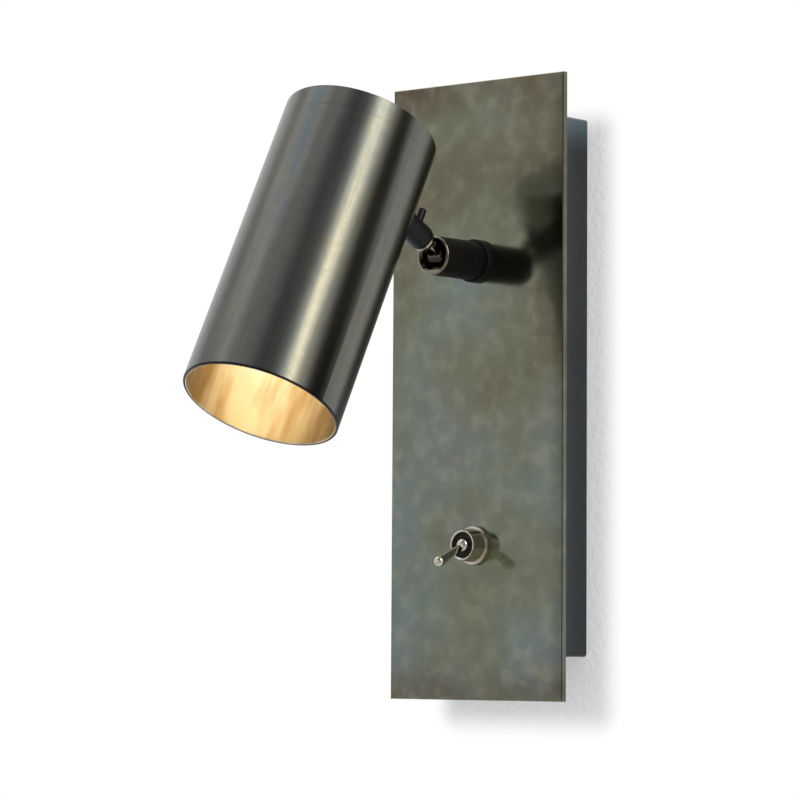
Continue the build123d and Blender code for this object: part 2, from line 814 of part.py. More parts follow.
groove_floor = stem_radius - groove_depth
with BuildPart() as lock_screw:
    with BuildSketch(lock_plane.offset(groove_floor + lock_tip_gap)):
        Circle(lock_screw_radius)
    extrude(amount=neck_radius - groove_floor)
    with BuildSketch(lock_plane.offset(neck_radius + lock_tip_gap)):
        Circle(lock_head_radius)
    extrude(amount=lock_head_height)
    chamfer(lock_screw.faces().sort_by(lock_axis)[-1].edges(), lock_head_chamfer)
lock_screw.part.label = "lock_screw"
export_step(lock_screw.part, "parts/lock_screw.step")

# ---------------------------------------------------------------- shade and its fixing

with BuildPart() as shade_tube:
    with BuildSketch(head_plane(0)):
        Circle(shade_radius)
        Circle(shade_bore, mode=Mode.SUBTRACT)
    extrude(amount=shade_length)
    fillet(shade_tube.edges().filter_by(GeomType.CIRCLE), shade_rim_round)
    with BuildSketch(neck_plane(neck_end)):
        Circle(stem_radius + hole_gap)
    extrude(amount=neck_reach - neck_end, mode=Mode.SUBTRACT)
shade_tube.part.label = "shade_tube"
export_step(shade_tube.part, "parts/shade_tube.step")

with BuildPart() as shade_cap:
    with BuildSketch(head_plane(cap_recess)):
        Circle(shade_bore - press_gap)
    extrude(amount=cap_thickness)
shade_cap.part.label = "shade_cap"
export_step(shade_cap.part, "parts/shade_cap.step")

with BuildPart() as shade_boss:
    with BuildSketch(neck_plane(boss_start)):
        Circle(neck_radius)
        Circle(stem_radius + press_gap, mode=Mode.SUBTRACT)
    extrude(amount=neck_reach - shade_bore - boss_start)
    with BuildSketch(head_plane(0)):
        Circle(shade_radius + press_gap)
    extrude(amount=2 * neck_drop, mode=Mode.SUBTRACT)
shade_boss.part.label = "shade_boss"
export_step(shade_boss.part, "parts/shade_boss.step")

groove_width = 2 * (lock_screw_radius + hole_gap)
groove_start = lock_screw_distance - groove_width / 2
roll = radians(roll_limit)
groove_end = lock_screw_radius * sin(roll) - groove_floor * cos(roll) + stop_gap
with BuildPart() as head_stem:
    with BuildSketch(neck_plane(stem_start)):
        Circle(stem_radius)
    extrude(amount=stem_end - stem_start)
    with BuildSketch(neck_plane(groove_start)):
        Circle(2 * stem_radius)
        Circle(groove_floor, mode=Mode.SUBTRACT)
        with Locations((0, -groove_end)):
            Rectangle(4 * stem_radius, 2 * stem_radius, align=(Align.CENTER, Align.MAX), mode=Mode.SUBTRACT)
    extrude(amount=groove_width, mode=Mode.SUBTRACT)
    with BuildSketch(neck_plane(stem_start)):
        Circle(stem_bore)
    extrude(amount=stem_end - stem_start, mode=Mode.SUBTRACT)
head_stem.part.label = "head_stem"
export_step(head_stem.part, "parts/head_stem.step")

holder_back = sqrt(shade_bore**2 - (holder_strip_width / 2) ** 2) - face_gap
strip_front = holder_back - holder_sheet
screw_offset = holder_screw_spacing / 2
strip_length = holder_back + screw_offset + holder_strip_end

with BuildPart() as saddle_washer:
    with BuildSketch(neck_plane(neck_reach - shade_bore)):
        Circle(saddle_radius)
        Circle(stem_radius + thread_gap, mode=Mode.SUBTRACT)
    extrude(amount=shade_bore - holder_back - press_gap)
    with BuildSketch(head_plane(0)):
        Circle(shade_bore - press_gap)
    extrude(amount=2 * neck_drop, mode=Mode.INTERSECT)
saddle_washer.part.label = "saddle_washer"
export_step(saddle_washer.part, "parts/saddle_washer.step")

stem_nut_plane = neck_plane(neck_reach - strip_front + press_gap)
stem_nut = hex_nut(stem_nut_plane, stem_nut_flats, stem_radius + thread_gap, stem_nut_thickness)
stem_nut.part.label = "stem_nut"
export_step(stem_nut.part, "parts/stem_nut.step")

with BuildPart() as holder_bracket:
    with BuildSketch(head_plane(holder_seat)):
        with Locations((0, -holder_back)):
            Rectangle(holder_strip_width, strip_length, align=(Align.CENTER, Align.MIN))
    extrude(amount=holder_sheet)
    with BuildSketch(head_plane(holder_seat)):
        with Locations((0, -holder_back)):
            Rectangle(holder_strip_width, holder_sheet, align=(Align.CENTER, Align.MIN))
    extrude(amount=neck_drop + holder_foot_end - holder_seat)
    with BuildSketch(head_plane(holder_seat)):
        with Locations((0, -screw_offset), (0, screw_offset)):
            Circle(holder_screw_radius + hole_gap)
    extrude(amount=holder_sheet, mode=Mode.SUBTRACT)
    with BuildSketch(neck_plane(neck_end)):
        Circle(stem_radius + thread_gap)
    extrude(amount=neck_reach - neck_end - strip_front + holder_sheet, mode=Mode.SUBTRACT)
holder_bracket.part.label = "holder_bracket"
export_step(holder_bracket.part, "parts/holder_bracket.step")

holder_start = holder_seat + holder_sheet
holder_end = holder_start + holder_height
entry_foot = head_point(0, -holder_radius, holder_entry)
entry_plane = Plane(origin=entry_foot, x_dir=(1, 0, 0), z_dir=head_plane(0).y_dir)
with BuildPart() as lamp_holder:
    with BuildSketch(head_plane(holder_start)):
        Circle(holder_radius)
    extrude(amount=holder_height)
    fillet(lamp_holder.edges().filter_by(GeomType.CIRCLE), holder_round)
    with BuildSketch(head_plane(holder_end)):
        with Locations((-pin_spacing / 2, 0), (pin_spacing / 2, 0)):
            Circle(pin_head_radius + 2 * hole_gap)
    extrude(amount=-pin_depth, mode=Mode.SUBTRACT)
    with BuildSketch(head_plane(holder_start)):
        with Locations((0, -screw_offset), (0, screw_offset)):
            Circle(holder_screw_radius + thread_gap)
    extrude(amount=holder_screw_length, mode=Mode.SUBTRACT)
    with BuildSketch(entry_plane):
        with Locations((-entry_offset, 0), (entry_offset, 0)):
            Circle(lead_radius + hole_gap)
    extrude(amount=entry_depth, mode=Mode.SUBTRACT)
lamp_holder.part.label = "lamp_holder"
export_step(lamp_holder.part, "parts/lamp_holder.step")

head_back = -head_plane(0).z_dir
head_screw_planes = [
    Plane(origin=head_point(0, side * screw_offset, holder_seat), x_dir=(1, 0, 0), z_dir=head_back)
    for side in (-1, 1)
]
holder_screws = pan_screws(
    head_screw_planes, holder_screw_radius, holder_screw_length, holder_screw_head, holder_screw_head_height
)
holder_screws.part.label = "holder_screws"
export_step(holder_screws.part, "parts/holder_screws.step")

# ---------------------------------------------------------------- lamp

lamp_start = holder_end + lamp_gap
lamp_foot = head_plane(lamp_start).origin
lamp_side = Plane(origin=lamp_foot, x_dir=(1, 0, 0), z_dir=-head_plane(0).y_dir)
lamp_axis = Axis(lamp_foot, head_plane(0).z_dir)
lamp_shoulder = lamp_length - lamp_rim
lens_back = lamp_length - lens_thickness
lens_radius = lamp_radius - lens_rim
bowl_floor = lamp_neck_length + lamp_wall

with BuildPart() as lamp_body:
    with BuildSketch(lamp_side):
        with BuildLine():
            neck_line = Polyline((0, 0), (lamp_neck_radius, 0), (lamp_neck_radius, lamp_neck_length))
            TangentArc(neck_line @ 1, (lamp_radius, lamp_shoulder), tangent=(1, lamp_flare))
            Polyline((lamp_radius, lamp_shoulder), (lamp_radius, lamp_length), (0, lamp_length), (0, 0))
        make_face()
    revolve(axis=lamp_axis)
    with BuildSketch(lamp_side):
        with BuildLine():
            floor_line = Polyline((0, bowl_floor), (lamp_neck_radius - lamp_wall, bowl_floor))
            TangentArc(floor_line @ 1, (lens_radius - lamp_wall, lens_back), tangent=(1, lamp_flare))
            Polyline((lens_radius - lamp_wall, lens_back), (0, lens_back), (0, bowl_floor))
        make_face()
    revolve(axis=lamp_axis, mode=Mode.SUBTRACT)
    with BuildSketch(head_plane(lens_front)):
        Circle(lens_radius)
    extrude(amount=-lens_thickness, mode=Mode.SUBTRACT)
lamp_body.part.label = "lamp_body"
export_step(lamp_body.part, "parts/lamp_body.step")

with BuildPart() as lamp_lens:
    with BuildSketch(head_plane(lens_front)):
        Circle(lens_radius - press_gap)
    extrude(amount=-lens_thickness + press_gap)
lamp_lens.part.label = "lamp_lens"
export_step(lamp_lens.part, "parts/lamp_lens.step")

with BuildPart() as lamp_pins:
    with BuildSketch(head_plane(lamp_start)):
        with Locations((-pin_spacing / 2, 0), (pin_spacing / 2, 0)):
            Circle(pin_radius)
    extrude(amount=-(lamp_gap + pin_depth - pin_head_height))
    with BuildSketch(head_plane(holder_end - pin_depth + pin_head_height)):
        with Locations((-pin_spacing / 2, 0), (pin_spacing / 2, 0)):
            Circle(pin_head_radius)
    extrude(amount=-pin_head_height + face_gap)
lamp_pins.part.label = "lamp_pins"
export_step(lamp_pins.part, "parts/lamp_pins.step")

# ---------------------------------------------------------------- toggle switch

switch_back_y = web_inner_y + switch_washer_thickness
switch_out = plate_front_y - switch_back_y

switch_washer = ring(
    Plane(origin=(0, web_inner_y, switch_z), z_dir=(0, 1, 0)),
    switch_washer_radius,
    bushing_radius + hole_gap,
    switch_washer_thickness,
)
switch_washer.part.label = "switch_washer"
export_step(switch_washer.part, "parts/switch_washer.step")

with BuildPart() as switch_body:
    with BuildSketch(Plane(origin=(0, switch_back_y, switch_z), x_dir=(1, 0, 0), z_dir=(0, -1, 0))):
        RectangleRounded(switch_body_width, switch_body_height, switch_body_round)
    extrude(amount=-switch_body_depth)
switch_body.part.label = "switch_body"
export_step(switch_body.part, "parts/switch_body.step")

with BuildPart() as switch_bushing:
    with BuildSketch(switch_plane(switch_out)):
        Circle(bushing_radius)
        Circle(bushing_bore, mode=Mode.SUBTRACT)
    extrude(amount=bushing_length - seat_depth - switch_out)
    with BuildSketch(switch_plane(bushing_length - seat_depth)):
        Circle(bushing_radius)
        Circle(seat_throat, mode=Mode.SUBTRACT)
    extrude(amount=seat_depth)
    with Locations(switch_plane(ball_distance).origin):
        Sphere(ball_radius + running_gap, mode=Mode.SUBTRACT)
switch_bushing.part.label = "switch_bushing"
export_step(switch_bushing.part, "parts/switch_bushing.step")

with BuildPart() as dress_nut:
    with BuildSketch(switch_plane(0)):
        Circle(dress_flange_radius)
        with PolarLocations(dress_flange_radius, knurl_count):
            Circle(knurl_radius, mode=Mode.SUBTRACT)
    extrude(amount=dress_flange_thickness)
    with BuildSketch(switch_plane(dress_flange_thickness)):
        Circle(dress_base_radius)
    with BuildSketch(switch_plane(dress_length)):
        Circle(dress_mouth_radius)
    loft()
    with BuildSketch(switch_plane(0)):
        Circle(bushing_radius + thread_gap)
    extrude(amount=dress_length, mode=Mode.SUBTRACT)
    chamfer(dress_nut.faces().sort_by(Axis.Y)[0].inner_wires().edges(), dress_mouth_break)
dress_nut.part.label = "dress_nut"
export_step(dress_nut.part, "parts/dress_nut.step")

with BuildPart() as switch_seal:
    with BuildSketch(switch_plane(bushing_length)):
        Circle(bushing_radius - press_gap)
    extrude(amount=seal_thickness)
    with Locations(switch_plane(ball_distance).origin):
        Sphere(ball_radius + running_gap, mode=Mode.SUBTRACT)
switch_seal.part.label = "switch_seal"
export_step(switch_seal.part, "parts/switch_seal.step")

lever_out, lever_down = cos(radians(lever_angle)), sin(radians(lever_angle))
lever_foot = switch_plane(ball_distance).origin
lever_side = Plane(origin=lever_foot, x_dir=(1, 0, 0), z_dir=(0, lever_down, -lever_out))
lever_axis = Axis(lever_foot, (0, -lever_out, -lever_down))
tip_top = lever_length + lever_tip_radius
with BuildPart() as toggle_lever:
    with BuildSketch(lever_side):
        with BuildLine():
            Polyline(
                (0, tip_top),
                (0, -lever_tail_length),
                (lever_tail_radius, -lever_tail_length),
                (lever_tail_radius, 0),
                (lever_root_radius, 0),
                (lever_root_radius, ball_radius),
                (lever_tip_radius, lever_length),
            )
            RadiusArc((lever_tip_radius, lever_length), (0, tip_top), -lever_tip_radius)
        make_face()
    revolve(axis=lever_axis)
    with Locations(lever_foot):
        Sphere(ball_radius)
toggle_lever.part.label = "toggle_lever"
export_step(toggle_lever.part, "parts/toggle_lever.step")

lug_y = switch_back_y + switch_body_depth
with BuildPart() as switch_lugs:
    with BuildSketch(Plane(origin=(0, lug_y, switch_z), x_dir=(1, 0, 0), z_dir=(0, 1, 0))):
        with Locations((0, -lug_spacing / 2), (0, lug_spacing / 2)):
            Rectangle(lug_width, lug_height)
    extrude(amount=lug_length)
switch_lugs.part.label = "switch_lugs"
export_step(switch_lugs.part, "parts/switch_lugs.step")

# ---------------------------------------------------------------- leads and cable

cable_start = box_sheet - plate_thickness
journal_cable_start = journal_start + face_gap
head_cable_start = stem_start + face_gap
head_cable_end = stem_end - stem_nut_thickness / 2
lug_side = lug_width / 2 + face_gap
lead_y = lug_y + lug_length / 2
pole_x = pole_pitch / 2
pole_end = block_z + terminal_screw_spacing / 2 - terminal_screw_radius
core_y = plate_front_y - cable_start
tag_end_z = earth_z + earth_tag_reach
earth_y = -bracket_sheet - lead_radius
nipple_tag_y = web_inner_y + nipple_washer_thickness + earth_tag_thickness / 2

with BuildPart() as arm_cable:
    with BuildSketch(arm_plane(cable_start)):
        Circle(cable_radius)
    extrude(amount=journal_start - face_gap - cable_start)
arm_cable.part.label = "arm_cable"
export_step(arm_cable.part, "parts/arm_cable.step")

with BuildPart() as journal_cable:
    with BuildSketch(arm_plane(journal_cable_start)):
        Circle(cable_radius)
    extrude(amount=cup_floor - journal_cable_start)
journal_cable.part.label = "journal_cable"
export_step(journal_cable.part, "parts/journal_cable.step")

with BuildPart() as head_cable:
    with BuildSketch(neck_plane(head_cable_start)):
        Circle(cable_radius)
    extrude(amount=head_cable_end - head_cable_start)
head_cable.part.label = "head_cable"
export_step(head_cable.part, "parts/head_cable.step")

live_route = [
    (pole_x, pole_y, pole_end),
    (5.2, -7.2, 7.3),
    (12.3, -8.2, 11.6),
    (19.4, -9.0, 7.3),
    (19.6, -9.4, -8.0),
    (18.4, -9.8, -27.0),
    (15.5, -10.0, -50.0),
    (14.5, -8.5, -65.0),
    (10.5, lead_y, switch_z - lug_spacing / 2),
    (lug_side, lead_y, switch_z - lug_spacing / 2),
]
lead_live = lead("lead_live", live_route, lead_radius)
lead_live.part.label = "lead_live"
export_step(lead_live.part, "parts/lead_live.step")

switched_route = [
    (lug_side, lead_y, switch_z + lug_spacing / 2),
    (9.5, lead_y, switch_z + lug_spacing / 2),
    (19.0, -5.0, -53.0),
    (24.5, -5.6, -32.0),
    (25.0, -6.2, -4.0),
    (20.5, -6.0, 22.0),
    (9.5, -5.0, 44.0),
    (core_offset, -4.2, arm_z),
    (core_offset, core_y, arm_z),
]
lead_switched = lead("lead_switched", switched_route, lead_radius)
lead_switched.part.label = "lead_switched"
export_step(lead_switched.part, "parts/lead_switched.step")

neutral_route = [
    (-pole_x, pole_y, pole_end),
    (-pole_x, pole_y, 10.5),
    (-6.0, -5.8, 27.0),
    (-4.0, -4.8, 45.0),
    (-core_offset, -4.2, arm_z),
    (-core_offset, core_y, arm_z),
]
lead_neutral = lead("lead_neutral", neutral_route, lead_radius)
lead_neutral.part.label = "lead_neutral"
export_step(lead_neutral.part, "parts/lead_neutral.step")

earth_route = [
    (earth_x, earth_y, tag_end_z + face_gap),
    (-20.5, -3.4, 18.0),
    (-25.0, -6.0, 36.0),
    (-26.0, -11.0, 50.0),
    (-20.5, nipple_tag_y, arm_z),
    (-nipple_tag_reach - face_gap, nipple_tag_y, arm_z),
]
lead_earth = lead("lead_earth", earth_route, lead_radius)
lead_earth.part.label = "lead_earth"
export_step(lead_earth.part, "parts/lead_earth.step")

cable_end_y = head_cable_end - neck_reach
with BuildPart() as head_leads:
    for side in (-1, 1):
        head_route = [
            head_point(side * core_offset, cable_end_y + face_gap, neck_drop),
            head_point(side * 1.4, cable_end_y + 4.5, neck_drop - 0.2),
            head_point(side * entry_offset, -holder_radius - 4.0, holder_entry),
            head_point(side * entry_offset, -holder_radius + entry_depth - face_gap, holder_entry),
        ]
        with BuildLine() as head_path:
            FilletPolyline(*head_route, radius=bend_radii(head_route))
        with BuildSketch(Plane(origin=head_path.line @ 0, z_dir=head_path.line % 0)):
            Circle(lead_radius)
        sweep()
        print("head_leads bend radii", [round(value, 1) for value in bend_radii(head_route)])
head_leads.part.label = "head_leads"
export_step(head_leads.part, "parts/head_leads.step")
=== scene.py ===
from math import cos, hypot, pi, radians, sin, tau

import bmesh
import bpy
from bpy.props import FloatProperty, FloatVectorProperty, PointerProperty
from mathutils import Matrix, Vector


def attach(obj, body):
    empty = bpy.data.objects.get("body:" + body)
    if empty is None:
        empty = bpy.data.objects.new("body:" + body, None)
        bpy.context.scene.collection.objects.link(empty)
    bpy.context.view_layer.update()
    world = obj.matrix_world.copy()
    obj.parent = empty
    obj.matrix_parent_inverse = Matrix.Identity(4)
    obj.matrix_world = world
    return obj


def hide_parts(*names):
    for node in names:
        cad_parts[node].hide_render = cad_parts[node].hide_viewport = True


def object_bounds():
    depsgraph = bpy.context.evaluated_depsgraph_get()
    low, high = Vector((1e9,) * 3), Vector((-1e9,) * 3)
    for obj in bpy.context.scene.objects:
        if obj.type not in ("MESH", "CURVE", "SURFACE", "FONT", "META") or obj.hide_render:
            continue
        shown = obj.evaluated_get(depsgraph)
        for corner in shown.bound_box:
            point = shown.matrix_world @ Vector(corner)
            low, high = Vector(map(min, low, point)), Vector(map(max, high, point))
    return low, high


bl_info = {
    "name": "Bedside Reading Lamp",
    "version": (1, 0, 0),
    "blender": (4, 5, 0),
    "location": "3D View > Sidebar > Reading Lamp",
    "description": "Gives the wall reading lamp its finishes, its pressed lens and a plain studio",
    "category": "Object",
}

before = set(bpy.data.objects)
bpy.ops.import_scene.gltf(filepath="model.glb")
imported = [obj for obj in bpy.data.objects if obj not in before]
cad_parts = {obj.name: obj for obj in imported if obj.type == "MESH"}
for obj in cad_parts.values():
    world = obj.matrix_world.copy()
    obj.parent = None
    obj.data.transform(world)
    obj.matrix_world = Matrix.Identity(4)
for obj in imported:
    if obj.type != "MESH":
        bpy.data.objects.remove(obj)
cad_low, cad_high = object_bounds()

MM = 0.001
# The plate is the lamp's widest and tallest piece, so the frame's bounds end at its right and upper edges.
PLATE_RIGHT, PLATE_TOP = cad_high[0], cad_high[2]
# The shade's own axis: the middle of its closed end and its lean from upright. Then its bore's radius and its
# length, from the closed end down to the mouth.
SHADE_TOP = Vector((0.0, -0.101785, 0.110512))
SHADE_TILT = radians(27.3)
SHADE_BORE = 33.5 * MM
SHADE_LENGTH = 142.0 * MM


def linear(colour):
    """Scene colour of an sRGB hex value such as "#6A6C60"."""
    steps = [int(colour[place:place + 2], 16) / 255 for place in (1, 3, 5)]
    return tuple(step / 12.92 if step <= 0.04045 else ((step + 0.055) / 1.055) ** 2.4 for step in steps)


def colour_of(name, text, value):
    """A colour that the user can change."""
    return FloatVectorProperty(
        name=name, description=text, default=linear(value), subtype="COLOR", size=3, min=0.0, max=1.0
    )


def length_of(name, text, value):
    """A length that the user can change, its default given in millimetres."""
    return FloatProperty(name=name, description=text, default=value * MM, min=0.0, unit="LENGTH", precision=5)


def share_of(name, text, value):
    """A share from 0 to 1 that the user can change."""
    return FloatProperty(name=name, description=text, default=value, min=0.0, max=1.0, subtype="FACTOR")


# ---------------------------------------------------------------- settings


class PlateSettings(bpy.types.PropertyGroup):
    olive: colour_of("Olive", "Middle tone of the patina", "#878A72")
    brown: colour_of("Brown", "Brown clouds of the patina", "#80765F")
    blue: colour_of("Blue grey", "Blue-grey clouds of the patina", "#7C8782")
    scorch: colour_of("Scorch", "Browner ends of the plate", "#6D6150")
    pale: colour_of("Pale", "Thin places in the patina", "#9A9781")
    # The box's side: painted shade, and bluer painted light close to its top.
    side: colour_of("Side", "Darker patina on the folded box", "#3A3E43")
    lit_side_top: colour_of("Side top", "Bluish patina at the top of the folded box", "#5C6C75")
    blotch: length_of("Blotch", "Width of a large cloud in the patina", 46.0)
    cloud: length_of("Cloud", "Width of a small cloud in the patina", 9.0)
    roughness: share_of("Roughness", "How blurred the waxed patina reflects", 0.14)


class ShadeSettings(bpy.types.PropertyGroup):
    black: colour_of("Blackening", "Blackened outside of the shade", "#6C6C64")
    blue: colour_of("Blue", "Bluish places in the blackening", "#656B6B")
    brown: colour_of("Brown", "Thin, brownish places in the blackening", "#756D5C")
    brass: colour_of("Brass", "Raw brass inside the shade", "#F3EAD2")
    # Painted shade on the cut rim of the mouth.
    rim: colour_of("Rim", "Thicker blackening on the cut rim", "#1B1B1B")
    tarnish: colour_of("Tarnish", "Tarnish inside the shade", "#D3B685")
    streak: length_of("Streak", "Width of a lengthwise streak", 5.0)
    roughness: share_of("Roughness", "How blurred the outside reflects", 0.25)


class FittingSettings(bpy.types.PropertyGroup):
    lacquer: colour_of("Black lacquer", "Lacquer on the arm and the neck", "#070708")
    nickel: colour_of("Nickel", "Nickel plating of the switch", "#DDD6C6")
    dull_nickel: colour_of("Dull nickel", "Older nickel plating of the knuckle", "#958C7D")
    # Painted shade: the dark brown that the knuckle's nickel goes to deep inside its cup.
    recess_shade: colour_of("Old nickel", "Darkened nickel deep inside the knuckle", "#4A4238")
    zinc: colour_of("Zinc", "Zinc plating of the hidden steel", "#B4B7B8")
    oxide: colour_of("Black oxide", "Blackened steel screws", "#26272A")
    brass: colour_of("Turned brass", "Terminals, tags and lugs", "#D2AA5E")
    seam: colour_of("Seam", "Washer between the two halves of the arm", "#8D8B84")


class ElectricSettings(bpy.types.PropertyGroup):
    block: colour_of("Terminal block", "Moulded polyamide", "#E2E1DA")
    phenolic: colour_of("Phenolic", "Moulded switch body", "#232220")
    rubber: colour_of("Rubber", "Bush and seal", "#161616")
    ceramic: colour_of("Ceramic", "Lamp holder", "#E6E1D3")
    housing: colour_of("Lamp housing", "Moulded lamp body", "#D8D7D2")
    glass: colour_of("Glass", "Pressed lens of the lamp", "#EFF4F3")
    glow: colour_of("Lamp light", "Colour of the lit lamp", "#FFF0D8")
    glow_strength: FloatProperty(
        name="Lamp level", description="Brightness of the lit lens", default=1.38, min=0.0
    )
    brown: colour_of("Brown lead", "Insulation of the live leads", "#5B3420")
    blue: colour_of("Blue lead", "Insulation of the neutral lead", "#2C5C9B")
    green: colour_of("Green", "Green of the earth lead", "#3E7A33")
    yellow: colour_of("Yellow", "Yellow of the earth lead", "#D9C22E")
    sheath: colour_of("Sheath", "Sheath of the cable", "#1D1D1E")
    dimple: length_of("Dimple", "Spacing of the dimples in the lens", 3.2)
    dimple_depth: length_of("Dimple depth", "Depth of a dimple in the lens", 0.35)


class StageSettings(bpy.types.PropertyGroup):
    wall: colour_of("Wall", "Painted plaster", "#F3F4F5")
    floor: colour_of("Floor", "Pale floor", "#ECEBE8")
    felt: colour_of("Felt", "Black felt of the flag", "#2A2A2C")
    lens: FloatProperty(name="Lens", description="Focal length", default=161.586, unit="CAMERA")
    side_angle: FloatProperty(
        name="Side angle", description="Camera to the right of straight on", default=radians(39.725),
        unit="ROTATION",
    )
    pitch: FloatProperty(
        name="Pitch", description="Camera looking up", default=radians(4.927), unit="ROTATION"
    )
    roll: FloatProperty(name="Roll", description="Camera roll", default=radians(0.36), unit="ROTATION")
    distance: length_of("Distance", "Camera to the lamp along the view", 1664.74)
    right: FloatProperty(
        name="Right", description="Camera's shift to the right", default=-46.923 * MM, unit="LENGTH"
    )
    up: FloatProperty(name="Up", description="Camera's shift upwards", default=25.63 * MM, unit="LENGTH")
    frame_shift: FloatProperty(name="Frame shift", description="Vertical lens shift", default=-0.0803)
    soft_light: FloatProperty(name="Soft light", description="Level of the room's soft light", default=0.70)
    strip_light: FloatProperty(name="Strip light", description="Level of the tall strip light", default=6.3)
    key_light: FloatProperty(
        name="Key light", description="Level of the light from the upper left", default=0.6
    )


SETTINGS = {
    "lamp_plate": PlateSettings,
    "lamp_shade": ShadeSettings,
    "lamp_fittings": FittingSettings,
    "lamp_electric": ElectricSettings,
    "lamp_stage": StageSettings,
}


# ---------------------------------------------------------------- materials

# Each noise's scale is 1.0 over a real size in metres, which is about how wide its clouds are.
# Settings that many nodes share are written once: a range eased at both ends, and a mix of two colours.
EASED = {"interpolation_type": "SMOOTHSTEP"}
COLOURS = {"data_type": "RGBA"}
WHITE = (1.0, 1.0, 1.0, 1.0)


def put(tree, kind, sockets=(), **settings):
    """Adds a shader node with its settings. Its sockets, by name or in their order on the node, get values or
    what feeds them: an output, or a node that stands for its first output."""
    node = tree.nodes.new("ShaderNode" + kind)
    for name, value in settings.items():
        setattr(node, name, value)
    inputs = [socket for socket in node.inputs if socket.enabled]
    if isinstance(sockets, dict):
        inputs = [node.inputs[name] for name in sockets]
        sockets = sockets.values()
    for socket, value in zip(inputs, sockets):
        if isinstance(value, bpy.types.Node):
            value = next(output for output in value.outputs if output.enabled)
        if isinstance(value, bpy.types.NodeSocket):
            tree.links.new(value, socket)
        else:
            socket.default_value = value
    return node


def opaque(colour):
    """The colour as a node takes it, with full alpha."""
    return (*colour, 1.0)


def new_material(name):
    """An empty node material, its tree, and the place that its patterns are drawn from, in metres."""
    material = bpy.data.materials.new(name)
    material.use_nodes = True
    material.node_tree.nodes.clear()
    place = put(material.node_tree, "TexCoord").outputs["Object"]
    return material, material.node_tree, place


def toned(tree, colour, tones):
    """Makes a colour paler and darker by patterns, each given as its value, its range and the tones there."""
    for tone in tones:
        share = put(tree, "MapRange", tone, **EASED)
        colour = put(tree, "VectorMath", (colour, share), operation="SCALE")
    return colour


# Places on the patinated sheet: the stretch that its clouds change over, up and down from its middle, its
# heated ends, the painted shade along its right-hand edge, and the painted light at the paler top of the
# box's side.
CLOUD_RISE = PLATE_TOP + 7.5 * MM
HEATED = (PLATE_TOP - 24.5 * MM, PLATE_TOP - 0.5 * MM)
SHADED_RIGHT_EDGE = (PLATE_RIGHT - 9.0 * MM, PLATE_RIGHT)
LIT_FOLD_TOP = (PLATE_TOP - 38.5 * MM, PLATE_TOP - 20.5 * MM)
# A step that takes a second pattern away from the first, so that they have nothing in common.
ELSEWHERE = (0.3, 0.1, -0.2)


